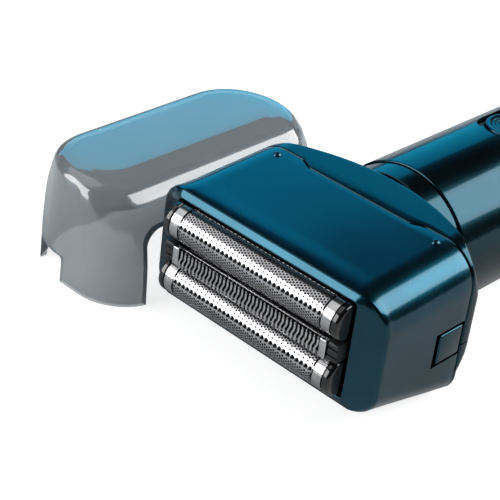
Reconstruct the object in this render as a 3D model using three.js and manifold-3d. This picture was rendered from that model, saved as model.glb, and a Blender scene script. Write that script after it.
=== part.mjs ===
// Foil shaver lying on its back, with its clear protective cap standing beside it.
// Millimetres. X runs along the foils, Y from the foils to the tail of the handle,
// Z from the back of the shaver to its front face. Everything is drawn about the
// handle's axis and moved once, at the end, so that the origin is the centre of the
// floor rectangle that the whole object stands on.
import * as THREE from "three";
import { mergeVertices } from "three/addons/utils/BufferGeometryUtils.js";
import Module from "manifold-3d";

const wasm = await Module();
wasm.setup();

// ---- driving sizes --------------------------------------------------------
const GAP = 0.3; // between pieces that touch
const WALL = 1.8; // moulded shells

const HEAD_HALF = 31; // half the head's width along the foils
const BASE_FRONT = 17.6; // where the foil frame meets the head base
const BASE_REAR = -17.3;
const HEAD_CORNER_REAR = 5.5; // rounding of the head's long edges, at the back
const HEAD_CORNER_FRONT = 8.5; // and at the front
const FRAME_LENGTH = 29.4; // rim plane to the parting line, at the corners
const PARTING_STEP = 1.5; // how far the parting line steps forward in the middle
const PARTING_HALF = 13.4; // half the length of that middle step
const PARTING_RAMP = 4.2; // length of the wave that joins the two
const BASE_MID = FRAME_LENGTH + 10.2; // rear edge of the head base on the centre line
const BASE_ARC_FULL = 79; // plan radius of that edge round the middle of the sides
const BASE_ARC_FACE = 45.5; // and on the front and rear faces, where it draws in
const BASE_SIDE_CORNER = 2; // small corner where the rear edge meets the sides
const BASE_SEAM = -4; // height of the seam between the base halves

const LIP = 0.5; // flat lip round the opening in the rim
const END_BEVEL = 2.2; // depth of the rim's bevel at the two ends
const LONG_BEVEL = 0.9; // and along the two long sides

const FOIL_RADIUS = 3.95;
const FOIL_THICK = 0.35;
const FOIL_HALF = HEAD_HALF - 8.8; // half a foil's length
const FOIL_APEX = -4.5; // how far the foils stand out of the rim
const FOIL_LEG = 2.2; // where a foil's straight legs end
const FOIL_MID = 3.5; // midway between the foils, above the handle's axis
const FOIL_END_RADIUS = FOIL_RADIUS + 0.15;
const FLOAT = 1.5; // how far a foil can be pushed in

const TRIMMER_HALF_WIDTH = 2.1;
const TRIMMER_FRONT = -3.6;
const TRIMMER_HALF = FOIL_HALF - 0.8; // half the comb's length, with its pads
const TRIMMER_TEETH_HALF = TRIMMER_HALF - 1.2; // half the slotted length
const TRIMMER_SLOTS = 17;
const TRIMMER_FLOAT = 1;

const FOIL_PITCH = 2 * (FOIL_RADIUS + TRIMMER_HALF_WIDTH + 0.55); // upper foil to lower foil
const OPENING_HALF = FOIL_HALF + 2.2; // opening in the rim
const OPENING_FRONT = FOIL_MID + FOIL_PITCH / 2 + FOIL_RADIUS + 0.45;
const OPENING_REAR = FOIL_MID - FOIL_PITCH / 2 - FOIL_RADIUS - 0.95;
const RIM_FRONT = OPENING_FRONT + 1.9; // rim of the foil frame, above the handle's axis
const RIM_REAR = OPENING_REAR - 2.2;

const SWING = 1.2; // half stroke of the cutters
const CUTTER_HALF = FOIL_HALF - 1.9;
const ECCENTRIC_THROW = 1.2;

const HANDLE_RADIUS = 18.34;
const SLEEVE_START = BASE_MID + 6.4;
const SLEEVE_END = 150;
const TAIL = 156; // flat end of the end cap
const NECK_RADIUS = HANDLE_RADIUS - 0.44;
const MOTOR_RADIUS = 12;
const MOTOR_FRONT = FRAME_LENGTH + 4.9;
const MOTOR_LENGTH = 26;

const NOTCH_START = FRAME_LENGTH - 9.4; // release notch in the foil frame's sides
const NOTCH_FRONT = 2.4;
const NOTCH_REAR = -5.9;
const RELEASE_TRAVEL = 1.2;

const RECESS_HALF_WIDTH = 7.8; // oval control plate on the front of the handle
const RECESS_LENGTH = 30;
const RECESS_START = 74.8;
const RECESS_DEPTH = 1.1;
const BUTTON_RADIUS = 6;
const BUTTON_TRAVEL = 0.6;

const CELL_RADIUS = 9.1;
const CELL_LENGTH = 65;
const CELL_START = 70;

const CAP_HEIGHT = 27.5;
const CAP_HALF_LENGTH = HEAD_HALF + 3.8;
const CAP_HALF_WIDTH = (BASE_FRONT - BASE_REAR) / 2 + 0.65;
const CAP_X = -HEAD_HALF - CAP_HALF_WIDTH - 2.1; // where the cap stands
const CAP_Y = 28;
const CAP_WALL = 1.5;
const CAP_EDGE = 23.6; // height of the edge where the domed top meets the end walls
const CAP_CORNER_NEAR = 12.5; // plan corners of the cap
const CAP_CORNER_FAR = 16.5;
const CAP_ARCH_HALF = CAP_HALF_LENGTH - 9.3; // arch in the near wall, between the legs
const CAP_ARCH_HEIGHT = 18;
const CAP_ARCH_CORNER = 4;
const CAP_NOTCH_WIDTH = 10.3; // notch in each end wall, for the release buttons
const CAP_NOTCH_HEIGHT = 6.3;
const CAP_NOTCH_SHIFT = -6; // its centre, from the cap's middle

// ---- solids ---------------------------------------------------------------
const CLEAR = 1; // a cutting tool runs this far past the faces it cuts
const UPPER_Z = FOIL_MID + FOIL_PITCH / 2;
const LOWER_Z = FOIL_MID - FOIL_PITCH / 2;

function solid(geometry) {
  const bare = geometry.index ? geometry.toNonIndexed() : geometry.clone();
  for (const name of Object.keys(bare.attributes)) {
    if (name !== "position") bare.deleteAttribute(name);
  }
  const merged = mergeVertices(bare, 1e-4);
  return new wasm.Manifold(new wasm.Mesh({
    numProp: 3,
    vertProperties: new Float32Array(merged.attributes.position.array),
    triVerts: new Uint32Array(merged.index.array),
  }));
}

function geometryOf(body) {
  const mesh = body.getMesh();
  const geometry = new THREE.BufferGeometry();
  geometry.setAttribute("position", new THREE.BufferAttribute(mesh.vertProperties, 3));
  geometry.setIndex(new THREE.BufferAttribute(mesh.triVerts, 1));
  return geometry;
}

function join(first, ...others) {
  return others.reduce((sum, other) => sum.add(other), first);
}

function cut(first, ...tools) {
  return tools.reduce((rest, tool) => rest.subtract(tool), first);
}

function block(x, y, z) {
  const geometry = new THREE.BoxGeometry(x[1] - x[0], y[1] - y[0], z[1] - z[0]);
  geometry.translate((x[0] + x[1]) / 2, (y[0] + y[1]) / 2, (z[0] + z[1]) / 2);
  return solid(geometry);
}

// A round rod along Y, and the same rod stood along Z.
function rodY(radius, y, x = 0, z = 0, sides = 32) {
  const geometry = new THREE.CylinderGeometry(radius, radius, y[1] - y[0], sides);
  geometry.translate(x, (y[0] + y[1]) / 2, z);
  return solid(geometry);
}

function rodZ(radius, z, x = 0, y = 0, sides = 28) {
  const geometry = new THREE.CylinderGeometry(radius, radius, z[1] - z[0], sides);
  geometry.rotateX(Math.PI / 2);
  geometry.translate(x, y, (z[0] + z[1]) / 2);
  return solid(geometry);
}

// A body turned about the Y axis from [radius, y] pairs.
function turnedY(profile, sides = 48, x = 0, z = 0) {
  const points = profile.map(([radius, y]) => new THREE.Vector2(radius, y));
  const geometry = new THREE.LatheGeometry(points, sides);
  geometry.translate(x, 0, z);
  return solid(geometry);
}

// A plan outline in X and Y, raised along Z.
function raised(outline, z) {
  const shape = outline instanceof THREE.Shape ? outline : new THREE.Shape(outline);
  const geometry = new THREE.ExtrudeGeometry(shape, {
    depth: z[1] - z[0], bevelEnabled: false, curveSegments: 8,
  });
  geometry.translate(0, 0, z[0]);
  return solid(geometry);
}

// Rings with the same number of points, skinned in order and closed at both ends.
function loft(rings) {
  const count = rings[0].length;
  const positions = rings.flat().flatMap((point) => [point.x, point.y, point.z]);
  const index = [];
  for (let ring = 0; ring < rings.length - 1; ring += 1) {
    for (let k = 0; k < count; k += 1) {
      const a = ring * count + k;
      const b = ring * count + ((k + 1) % count);
      index.push(a, a + count, b, b, a + count, b + count);
    }
  }
  const last = (rings.length - 1) * count;
  for (let k = 1; k < count - 1; k += 1) {
    index.push(0, k, k + 1);
    index.push(last, last + k + 1, last + k);
  }
  const geometry = new THREE.BufferGeometry();
  geometry.setAttribute("position", new THREE.Float32BufferAttribute(positions, 3));
  geometry.setIndex(index);
  return solid(geometry);
}

const CORNER_STEPS = 4;

// A rounded rectangle as [across, up, side] points, with side 1 on its two ends.
function roundedCorners(half, low, high, lowRadius, highRadius, steps = CORNER_STEPS) {
  const points = [];
  const corners = [
    [half, high, highRadius, 0],
    [-half, high, highRadius, 1],
    [-half, low, lowRadius, 2],
    [half, low, lowRadius, 3],
  ];
  for (const [x, y, radius, quarter] of corners) {
    const across = x - Math.sign(x) * radius;
    const up = quarter < 2 ? y - radius : y + radius;
    for (let k = 0; k <= steps; k += 1) {
      const angle = (quarter + k / steps) * (Math.PI / 2);
      points.push([
        across + radius * Math.cos(angle),
        up + radius * Math.sin(angle),
        Math.abs(Math.cos(angle)),
      ]);
    }
  }
  return points;
}

// One cross-section of the head: a rounded rectangle standing across the Y axis.
// endY moves the two ends along Y, which gives the rim its deeper end bevels.
function headRing(y, half, rear, front, rearRadius, frontRadius, endY = y) {
  return roundedCorners(half, rear, front, rearRadius, frontRadius).map(
    ([x, z, side]) => new THREE.Vector3(x, THREE.MathUtils.lerp(y, endY, side), z),
  );
}

// Front and rear faces of the head run straight from the rim to the parting line.
function headFace(rim, base, y) {
  return THREE.MathUtils.mapLinear(y, 0, FRAME_LENGTH, rim, base);
}

// The head's outline at y, or the outline of a wall or fit drawn in by inset.
function headSection(
  y,
  inset,
  rear = headFace(RIM_REAR, BASE_REAR, y),
  front = headFace(RIM_FRONT, BASE_FRONT, y),
) {
  return headRing(
    y,
    HEAD_HALF - inset,
    rear + inset,
    front - inset,
    HEAD_CORNER_REAR - inset * 0.7,
    HEAD_CORNER_FRONT - inset * 0.7,
  );
}

function partingY(x) {
  const ramp = THREE.MathUtils.smoothstep(Math.abs(x), PARTING_HALF, PARTING_HALF + PARTING_RAMP);
  return FRAME_LENGTH - PARTING_STEP * (1 - ramp);
}

// Everything on the tail side of the parting line.
function behindParting(shift) {
  const reach = HEAD_HALF + 5;
  const outline = [new THREE.Vector2(reach, BASE_MID + 10), new THREE.Vector2(-reach, BASE_MID + 10)];
  outline.push(new THREE.Vector2(-reach, FRAME_LENGTH + shift));
  const steps = 6;
  for (const side of [-1, 1]) {
    for (let k = 0; k <= steps; k += 1) {
      const along = side < 0 ? 1 - k / steps : k / steps;
      const x = side * (PARTING_HALF + PARTING_RAMP * along);
      outline.push(new THREE.Vector2(x, partingY(x) + shift));
    }
  }
  outline.push(new THREE.Vector2(reach, FRAME_LENGTH + shift));
  return raised(outline, [BASE_REAR - 5, BASE_FRONT + 5]);
}

const PLAN_FRONT = 10; // the plan's open end, well inside the foil frame

// Plan of the head base up to its arched rear edge, at one height, drawn in by inset.
function basePlan(z, inset) {
  const half = HEAD_HALF - inset;
  const draw = THREE.MathUtils.smoothstep(Math.abs(z), BASE_DRAW_START, BASE_FRONT);
  const curvature = THREE.MathUtils.lerp(1 / BASE_ARC_FULL, 1 / BASE_ARC_FACE, draw);
  const edge = (x) => BASE_MID - inset - (curvature * x ** 2) / 2;
  const shoulder = half - BASE_SIDE_CORNER;
  const side = [];
  const cornerSteps = 3;
  for (let k = 0; k <= cornerSteps; k += 1) {
    const angle = (k / cornerSteps) * (Math.PI / 2);
    side.push([
      shoulder + BASE_SIDE_CORNER * Math.cos(angle),
      edge(shoulder) - BASE_SIDE_CORNER * (1 - Math.sin(angle)),
    ]);
  }
  const arcSteps = 8;
  const outline = [[-half, PLAN_FRONT], [half, PLAN_FRONT], ...side];
  for (let k = 1; k < arcSteps; k += 1) {
    const x = shoulder * (1 - (2 * k) / arcSteps);
    outline.push([x, edge(x)]);
  }
  for (const [x, y] of side.reverse()) outline.push([-x, y]);
  return outline.map(([x, y]) => new THREE.Vector3(x, y, z));
}

const BASE_DRAW_START = 6; // the rear edge starts to draw in at this height off the axis

// Everything inside the head base's plan, from above its front face down past its rear.
function insideBasePlan(inset) {
  const reach = BASE_FRONT + CLEAR;
  const levels = [reach, 14.5, 11, BASE_DRAW_START, -BASE_DRAW_START, -11, -14.5, -reach];
  return loft(levels.map((z) => basePlan(z, inset)));
}

// A coil spring along Y (or X), ending in flat cut wire.
function coil(radius, wire, turns, start, end, centre, alongX = false) {
  class Helix extends THREE.Curve {
    getPoint(t, target = new THREE.Vector3()) {
      const angle = t * turns * 2 * Math.PI;
      const along = start + (end - start) * t;
      const a = radius * Math.cos(angle);
      const b = radius * Math.sin(angle);
      if (alongX) return target.set(along, centre[0] + a, centre[1] + b);
      return target.set(centre[0] + a, along, centre[1] + b);
    }
  }
  const section = new THREE.Shape();
  const sides = 4;
  for (let k = 0; k < sides; k += 1) {
    const angle = (k / sides) * 2 * Math.PI;
    const x = wire * Math.cos(angle);
    const y = wire * Math.sin(angle);
    if (k === 0) section.moveTo(x, y);
    else section.lineTo(x, y);
  }
  return solid(new THREE.ExtrudeGeometry(section, {
    steps: Math.round(turns * 7), bevelEnabled: false, extrudePath: new Helix(),
  }));
}

// ---- materials ------------------------------------------------------------
function finish(color, roughness, metalness, extra = {}) {
  return new THREE.MeshStandardMaterial({ color, roughness, metalness, ...extra });
}

const satinBlue = finish(0x0d4a63, 0.32, 0.85);
const glossBlue = finish(0x0a3b52, 0.12, 0.6);
const smokeClear = finish(0x6f7c86, 0.08, 0, { transparent: true, opacity: 0.5 });
const steel = finish(0xc9cdd0, 0.22, 1);
const springSteel = finish(0x9a9fa4, 0.35, 1);
const blackPlastic = finish(0x101214, 0.45, 0);
const darkGrey = finish(0x2b2f33, 0.5, 0);
const rubber = finish(0x1c1c1e, 0.8, 0);
const cellWrap = finish(0x2f6b52, 0.4, 0);
const boardGreen = finish(0x1c5a3a, 0.5, 0);
const windowPlastic = finish(0x9fb6c0, 0.2, 0);

const shaver = new THREE.Group();

function piece(parent, name, body, material) {
  const mesh = new THREE.Mesh(geometryOf(body), material);
  mesh.name = name;
  parent.add(mesh);
}

// ---- foil head: frame, cassette, foils, trimmer ---------------------------
const RIM_THICK = 2.6; // rim plane to the inside of the frame
const RIM_CORNER = 1.3; // the lip's corners; the opening's are LIP sharper

function openingRing(y) {
  const corner = RIM_CORNER - LIP;
  return headRing(y, OPENING_HALF, OPENING_REAR, OPENING_FRONT, corner, corner);
}

function foilFrame() {
  const skin = loft([
    headRing(0, OPENING_HALF + LIP, OPENING_REAR - LIP, OPENING_FRONT + LIP, RIM_CORNER, RIM_CORNER),
    headRing(LONG_BEVEL * 0.45, HEAD_HALF - 2.2, RIM_REAR + 0.6, RIM_FRONT - 0.5, 3.6, 4.6, END_BEVEL * 0.55),
    headRing(LONG_BEVEL, HEAD_HALF - 0.35, RIM_REAR - 0.1, RIM_FRONT - 0.1, 4.6, 6.5, END_BEVEL),
    headRing(LONG_BEVEL + 0.9, HEAD_HALF, RIM_REAR - 0.5, RIM_FRONT + 0.05, 5, 7.4, END_BEVEL + 0.9),
    headSection(8, 0),
    headSection(FRAME_LENGTH + CLEAR, 0),
  ]);
  const hollow = loft([
    headSection(RIM_THICK, WALL),
    headSection(FRAME_LENGTH + 2 * CLEAR, WALL),
  ]);
  const opening = loft([
    openingRing(-CLEAR),
    openingRing(RIM_THICK + CLEAR),
  ]);
  let frame = cut(skin, hollow, opening, behindParting(0));
  for (const side of [-1, 1]) {
    const x = [side * (HEAD_HALF - WALL - CLEAR), side * (HEAD_HALF + CLEAR)].sort((a, b) => a - b);
    frame = cut(frame, block(x, [NOTCH_START, FRAME_LENGTH + 2 * CLEAR], [NOTCH_REAR, NOTCH_FRONT]));
    frame = join(frame, detent(side));
  }
  return frame;
}

// A low round stud near each front corner, which a dimple in the cap snaps over.
const DETENT_X = HEAD_HALF - 9;
const DETENT_Y = FRAME_LENGTH - 2.7;
function detent(side) {
  const geometry = new THREE.SphereGeometry(1.1, 12, 8);
  geometry.translate(side * DETENT_X, DETENT_Y, BASE_FRONT - 0.6);
  return solid(geometry);
}

const CASSETTE_FRONT = 5.6;
const CASSETTE_BACK = 8.4;
const CUTTER_RADIUS = FOIL_RADIUS - FOIL_THICK - GAP;

function foilCassette() {
  const plate = loft([
    headSection(CASSETTE_FRONT, WALL + GAP + 0.1),
    headSection(CASSETTE_BACK, WALL + GAP + 0.1),
  ]);
  const slotHalf = CUTTER_HALF + SWING + GAP;
  const slots = [UPPER_Z, LOWER_Z].map((z) => block(
    [-slotHalf, slotHalf],
    [CASSETTE_FRONT - CLEAR, CASSETTE_BACK + CLEAR],
    [z - CUTTER_RADIUS - GAP, z + CUTTER_RADIUS + GAP],
  ));
  return cut(plate, ...slots);
}

// Outline of an arched strip across the foil, in Z and Y, extruded along X.
function arched(radius, back, half, hollowRadius = 0) {
  const centre = FOIL_APEX + FOIL_RADIUS;
  const steps = 10;
  const arc = (size, reverse) => {
    const points = [];
    for (let k = 0; k <= steps; k += 1) {
      const angle = Math.PI * (reverse ? 1 - k / steps : k / steps);
      points.push(new THREE.Vector2(size * Math.cos(angle), centre - size * Math.sin(angle)));
    }
    return points;
  };
  const outline = [new THREE.Vector2(radius, back), ...arc(radius, false), new THREE.Vector2(-radius, back)];
  if (hollowRadius > 0) {
    outline.push(new THREE.Vector2(-hollowRadius, back), ...arc(hollowRadius, true));
    outline.push(new THREE.Vector2(hollowRadius, back));
  }
  const geometry = new THREE.ExtrudeGeometry(new THREE.Shape(outline), {
    depth: 2 * half, bevelEnabled: false,
  });
  // (z, y, x) -> (x, y, z)
  geometry.translate(0, 0, -half);
  geometry.rotateY(Math.PI / 2);
  return solid(geometry);
}

const FOIL_END_LENGTH = OPENING_HALF - GAP - (FOIL_HALF + GAP);
const FOIL_END_BACK = CASSETTE_FRONT - FLOAT - GAP;

function foilEnd(side, z) {
  const centre = side * (FOIL_HALF + GAP + FOIL_END_LENGTH / 2);
  return arched(FOIL_END_RADIUS, FOIL_END_BACK, FOIL_END_LENGTH / 2).translate([centre, 0, z]);
}

function trimmerComb() {
  const low = FOIL_MID - TRIMMER_HALF_WIDTH;
  const high = FOIL_MID + TRIMMER_HALF_WIDTH;
  const skin = 0.8;
  const depth = 2.4;
  const bar = block([-TRIMMER_HALF, TRIMMER_HALF], [TRIMMER_FRONT, TRIMMER_FRONT + depth], [low, high]);
  const channel = block(
    [-TRIMMER_HALF - CLEAR, TRIMMER_HALF + CLEAR],
    [TRIMMER_FRONT + skin, TRIMMER_FRONT + depth + CLEAR],
    [low + skin, high - skin],
  );
  const pitch = (2 * TRIMMER_TEETH_HALF) / TRIMMER_SLOTS;
  const slotHalf = pitch * 0.24;
  let comb = cut(bar, channel);
  for (let k = 0; k < TRIMMER_SLOTS; k += 1) {
    const x = -TRIMMER_TEETH_HALF + (k + 0.5) * pitch;
    comb = cut(comb, block(
      [x - slotHalf, x + slotHalf],
      [TRIMMER_FRONT - CLEAR, TRIMMER_FRONT + skin + CLEAR / 2],
      [low + skin / 2, high - skin / 2],
    ));
  }
  return comb;
}

const TRIMMER_END_HALF = OPENING_HALF - GAP;
const TRIMMER_END_BACK = 1.2;

function trimmerEnd(side) {
  const x = [side * (TRIMMER_HALF + GAP), side * TRIMMER_END_HALF].sort((a, b) => a - b);
  const z = [FOIL_MID - TRIMMER_HALF_WIDTH, FOIL_MID + TRIMMER_HALF_WIDTH];
  let end = block(x, [TRIMMER_FRONT + 0.4, TRIMMER_END_BACK], z);
  for (const shift of [-0.7, 0.7]) {
    const groove = [FOIL_MID + shift - 0.15, FOIL_MID + shift + 0.15];
    end = cut(end, block([x[0] - CLEAR, x[1] + CLEAR], [TRIMMER_FRONT, TRIMMER_FRONT + 0.65], groove));
  }
  return end;
}

const BLADE_FRONT = TRIMMER_FRONT + 0.8 + GAP;
function trimmerBlade() {
  const half = TRIMMER_HALF_WIDTH - 0.8 - GAP;
  const length = TRIMMER_TEETH_HALF - 0.6;
  let blade = block([-length, length], [BLADE_FRONT, BLADE_FRONT + 1.6], [FOIL_MID - half, FOIL_MID + half]);
  const teeth = 16;
  const pitch = (2 * length) / teeth;
  for (let k = 1; k < teeth; k += 1) {
    const x = -length + k * pitch;
    blade = cut(blade, block(
      [x - pitch / 4, x + pitch / 4],
      [BLADE_FRONT - CLEAR, BLADE_FRONT + 0.6],
      [FOIL_MID - half - CLEAR, FOIL_MID + half + CLEAR],
    ));
  }
  return blade;
}

function trimmerCarrier() {
  return block(
    [-TRIMMER_END_HALF, TRIMMER_END_HALF],
    [TRIMMER_END_BACK + GAP, CASSETTE_FRONT - GAP - TRIMMER_FLOAT],
    [FOIL_MID - TRIMMER_HALF_WIDTH + 0.3, FOIL_MID + TRIMMER_HALF_WIDTH - 0.3],
  );
}

// ---- cutting drive --------------------------------------------------------
const CARRIER_FRONT = FOIL_APEX + FOIL_RADIUS + 0.6;
const CARRIER_BACK = 4.6;
const CARRIER_HALF = CUTTER_HALF - 3.3;
const CARRIER_HALF_WIDTH = 2.6;
const POST_RADIUS = 1.4;
const POST_TOP = CARRIER_FRONT + 1 + GAP + FLOAT;
const BRIDGE_FRONT = FRAME_LENGTH - 15.4;
const BRIDGE_BACK = BRIDGE_FRONT + 2.4;
const BRIDGE_HALF = 13;

function innerCutter(z) {
  const drum = arched(CUTTER_RADIUS, CARRIER_FRONT - GAP, CUTTER_HALF).translate([0, 0, z]);
  const blades = 10;
  const pitch = (2 * CUTTER_HALF) / blades;
  let cutter = drum;
  for (let k = 1; k < blades; k += 1) {
    const x = -CUTTER_HALF + k * pitch;
    cutter = cut(cutter, block(
      [x - pitch * 0.14, x + pitch * 0.14],
      [FOIL_APEX, FOIL_APEX + 2.6],
      [z - FOIL_RADIUS, z + FOIL_RADIUS],
    ));
  }
  return cutter;
}

function cutterCarrier(z) {
  const body = block(
    [-CARRIER_HALF, CARRIER_HALF],
    [CARRIER_FRONT, CARRIER_BACK],
    [z - CARRIER_HALF_WIDTH, z + CARRIER_HALF_WIDTH],
  );
  return cut(body, rodY(POST_RADIUS + GAP, [CARRIER_FRONT + 1, CARRIER_BACK + CLEAR], 0, z, 16));
}

function cutterSpring(z) {
  return coil(POST_RADIUS + 0.75, 0.3, 4.5, CARRIER_BACK + GAP + 0.3, BRIDGE_FRONT - GAP - 0.3, [0, z]);
}

const DECK_FRONT = FRAME_LENGTH - 3.4;
const PIN_RADIUS = 1;
const FORK_HALF = PIN_RADIUS + ECCENTRIC_THROW + SWING + GAP;
const FORK_BACK = DECK_FRONT - 3.6;

function oscillatorBridge() {
  const plate = block(
    [-BRIDGE_HALF, BRIDGE_HALF],
    [BRIDGE_FRONT, BRIDGE_BACK],
    [LOWER_Z - 2.4, UPPER_Z + 2.4],
  );
  const posts = [UPPER_Z, LOWER_Z].map((z) => rodY(POST_RADIUS, [POST_TOP, BRIDGE_FRONT + CLEAR], 0, z, 16));
  const prongs = [-1, 1].map((side) => {
    const x = [side * FORK_HALF, side * (FORK_HALF + 1.8)].sort((a, b) => a - b);
    return block(x, [BRIDGE_BACK - CLEAR, FORK_BACK], [-3.5, 3.5]);
  });
  return join(plate, ...posts, ...prongs);
}

const DECK_THICK = 2.4;
const DECK_BACK = FRAME_LENGTH + 1.8;
const DECK_WALL = 1.3;
const ARM_X = BRIDGE_HALF + GAP + 0.3;

function flexArm(side) {
  const x = [side * ARM_X, side * (ARM_X + 0.8)].sort((a, b) => a - b);
  return block(x, [BRIDGE_FRONT, DECK_FRONT - GAP], [FOIL_MID - 4, FOIL_MID + 4]);
}

const SHAFT_RADIUS = 1;
const DISC_BACK = DECK_FRONT - 0.6;
const DISC_FRONT = FORK_BACK + GAP + 0.2;

function eccentric() {
  const disc = rodY(4.4, [DISC_FRONT, DISC_BACK], 0, 0, 28);
  const pin = rodY(PIN_RADIUS, [BRIDGE_BACK + GAP + 0.2, DISC_FRONT + CLEAR], ECCENTRIC_THROW, 0, 16);
  const bore = rodY(SHAFT_RADIUS + GAP, [DISC_FRONT + 1, DISC_BACK + CLEAR], 0, 0, 16);
  return cut(join(disc, pin), bore);
}

function motorShaft() {
  return rodY(SHAFT_RADIUS, [DISC_FRONT + 1 + GAP, MOTOR_FRONT + 5], 0, 0, 16);
}

function motorCan() {
  const end = MOTOR_FRONT + MOTOR_LENGTH;
  const can = turnedY([
    [0, MOTOR_FRONT - 1.6], [3, MOTOR_FRONT - 1.6], [3, MOTOR_FRONT], [MOTOR_RADIUS - 0.8, MOTOR_FRONT],
    [MOTOR_RADIUS, MOTOR_FRONT + 0.8], [MOTOR_RADIUS, end - 0.8], [MOTOR_RADIUS - 0.8, end], [0, end],
  ], 24);
  return cut(can, rodY(SHAFT_RADIUS + GAP, [MOTOR_FRONT - 3, MOTOR_FRONT + 5 + GAP], 0, 0, 16));
}

// Screws that hold the deck to the base halves, one in each corner.
const DECK_SCREW_X = HEAD_HALF - 8.5;
const DECK_SCREW_Z = BASE_FRONT - 7;
const SCREW_RADIUS = 1.1;
const SCREW_HEAD = 1.9;

function deckScrew(x, z) {
  const head = DECK_FRONT - GAP;
  return turnedY([
    [0, head - 1.4], [SCREW_HEAD, head - 1.4], [SCREW_HEAD, head], [SCREW_RADIUS, head],
    [SCREW_RADIUS, DECK_BACK + 0.6], [0, DECK_BACK + 1.2],
  ], 14, x, z);
}

const TOWER_INNER = HEAD_HALF - 15;
const TOWER_OUTER = HEAD_HALF - WALL - GAP - 1;
const TOWER_FRONT = DECK_FRONT - 8;
const STEM_Z = [NOTCH_REAR + 1.7, NOTCH_FRONT - 2.2];
const STEM_Y = [DECK_FRONT - 2.8, DECK_FRONT + 1.4];

function driveDeck() {
  const fit = WALL + GAP + 0.1;
  const outer = loft([
    headSection(DECK_FRONT, fit),
    headSection(DECK_FRONT + 3, fit),
    headSection(DECK_BACK, fit, BASE_REAR, BASE_FRONT),
  ]);
  const tray = loft([
    headSection(DECK_FRONT + DECK_THICK, fit + DECK_WALL, BASE_REAR, BASE_FRONT),
    headSection(DECK_BACK + CLEAR, fit + DECK_WALL, BASE_REAR, BASE_FRONT),
  ]);
  let deck = cut(outer, tray);
  for (const side of [-1, 1]) {
    const x = [side * TOWER_INNER, side * TOWER_OUTER].sort((a, b) => a - b);
    deck = join(deck, block(x, [TOWER_FRONT, DECK_BACK - 2], [STEM_Z[0] - 2.2, STEM_Z[1] + 2.2]));
    const pocket = [side * (TOWER_INNER + 1.4), side * (TOWER_OUTER + 2)].sort((a, b) => a - b);
    deck = cut(deck, block(
      pocket,
      [STEM_Y[0] - GAP, STEM_Y[1] + GAP],
      [STEM_Z[0] - GAP, STEM_Z[1] + GAP],
    ));
    // room for the release button's plate at the end of its travel
    const pressed = HEAD_HALF - RELEASE_PLATE - RELEASE_TRAVEL - GAP;
    const relief = [side * pressed, side * HEAD_HALF].sort((a, b) => a - b);
    deck = cut(deck, block(relief, [DECK_FRONT - CLEAR, FRAME_LENGTH + GAP], [NOTCH_REAR, NOTCH_FRONT]));
    for (const z of [-DECK_SCREW_Z, DECK_SCREW_Z]) {
      deck = cut(deck, rodY(SCREW_RADIUS + GAP, [DECK_FRONT - CLEAR, DECK_BACK], side * DECK_SCREW_X, z, 14));
    }
  }
  const shaftHole = rodY(5, [DECK_FRONT - CLEAR, DECK_FRONT + DECK_THICK + CLEAR], 0, 0, 28);
  return cut(deck, shaftHole).intersect(insideBasePlan(WALL + GAP));
}

function shaftSeal() {
  return cut(
    rodY(4.7, [DECK_FRONT + 0.4, DECK_FRONT + 1.8], 0, 0, 28),
    rodY(SHAFT_RADIUS + GAP, [DECK_FRONT, DECK_FRONT + 3], 0, 0, 16),
  );
}

// Spring-loaded button in each side notch; pressing it frees the foil head.
const STEM_INNER = TOWER_INNER + 8.6;
const RELEASE_PLATE = 1.5; // thickness of the button's plate
function releaseButton(side) {
  const plate = keepInsideHead(block(
    [side * (HEAD_HALF - RELEASE_PLATE), side * (HEAD_HALF + 1)].sort((a, b) => a - b),
    [NOTCH_START + 1.7, FRAME_LENGTH - GAP],
    [NOTCH_REAR + GAP, NOTCH_FRONT - 1],
  ), 0);
  const stem = [side * STEM_INNER, side * (HEAD_HALF - 1)].sort((a, b) => a - b);
  return join(plate, block(stem, STEM_Y, STEM_Z));
}

function keepInsideHead(body, inset) {
  return body.intersect(loft([headSection(2, inset), headSection(FRAME_LENGTH + 5, inset)]));
}

function releaseSpring(side) {
  const from = side * (TOWER_INNER + 1.4 + GAP + 0.3);
  const to = side * (STEM_INNER - GAP - 0.3);
  const centre = [(STEM_Y[0] + STEM_Y[1]) / 2, (STEM_Z[0] + STEM_Z[1]) / 2];
  return coil(1.5, 0.28, 4, from, to, centre, true);
}

// ---- head base and neck ---------------------------------------------------
function baseShell() {
  const y = [FRAME_LENGTH - 4, BASE_MID + CLEAR];
  const prism = (inset) => loft(y.map((at) => headSection(at, inset, BASE_REAR, BASE_FRONT)));
  const whole = prism(0).intersect(insideBasePlan(0));
  const outer = whole.intersect(behindParting(GAP));
  const inner = prism(WALL).intersect(insideBasePlan(WALL));
  const boss = [];
  const bores = [];
  for (const x of [-DECK_SCREW_X, DECK_SCREW_X]) {
    for (const z of [-DECK_SCREW_Z, DECK_SCREW_Z]) {
      const post = rodY(SCREW_RADIUS + 0.9, [DECK_FRONT + DECK_THICK + GAP, BASE_MID], x, z, 16);
      boss.push(post.intersect(whole));
      bores.push(rodY(SCREW_RADIUS + GAP, [DECK_FRONT, DECK_BACK + 1.6], x, z, 14));
    }
  }
  const shell = join(cut(outer, inner), ...boss);
  const throat = rodY(MOUNT_OUTER + GAP, [FRAME_LENGTH, BASE_MID + 2 * CLEAR], 0, 0, 48);
  return cut(shell, throat, ...bores);
}

const MOUNT_OUTER = MOTOR_RADIUS + GAP + 1.3;
const MOUNT_FRONT = DECK_BACK + GAP;
const MOUNT_BACK = MOTOR_FRONT + MOTOR_LENGTH + 3;

function baseHalf(front) {
  const half = GAP / 2;
  const z = front ? [BASE_SEAM + half, BASE_FRONT + CLEAR] : [BASE_REAR - CLEAR, BASE_SEAM - half];
  const reach = HEAD_HALF + CLEAR;
  return baseShell().intersect(block([-reach, reach], [FRAME_LENGTH - 5, BASE_MID + 2], z));
}

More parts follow.
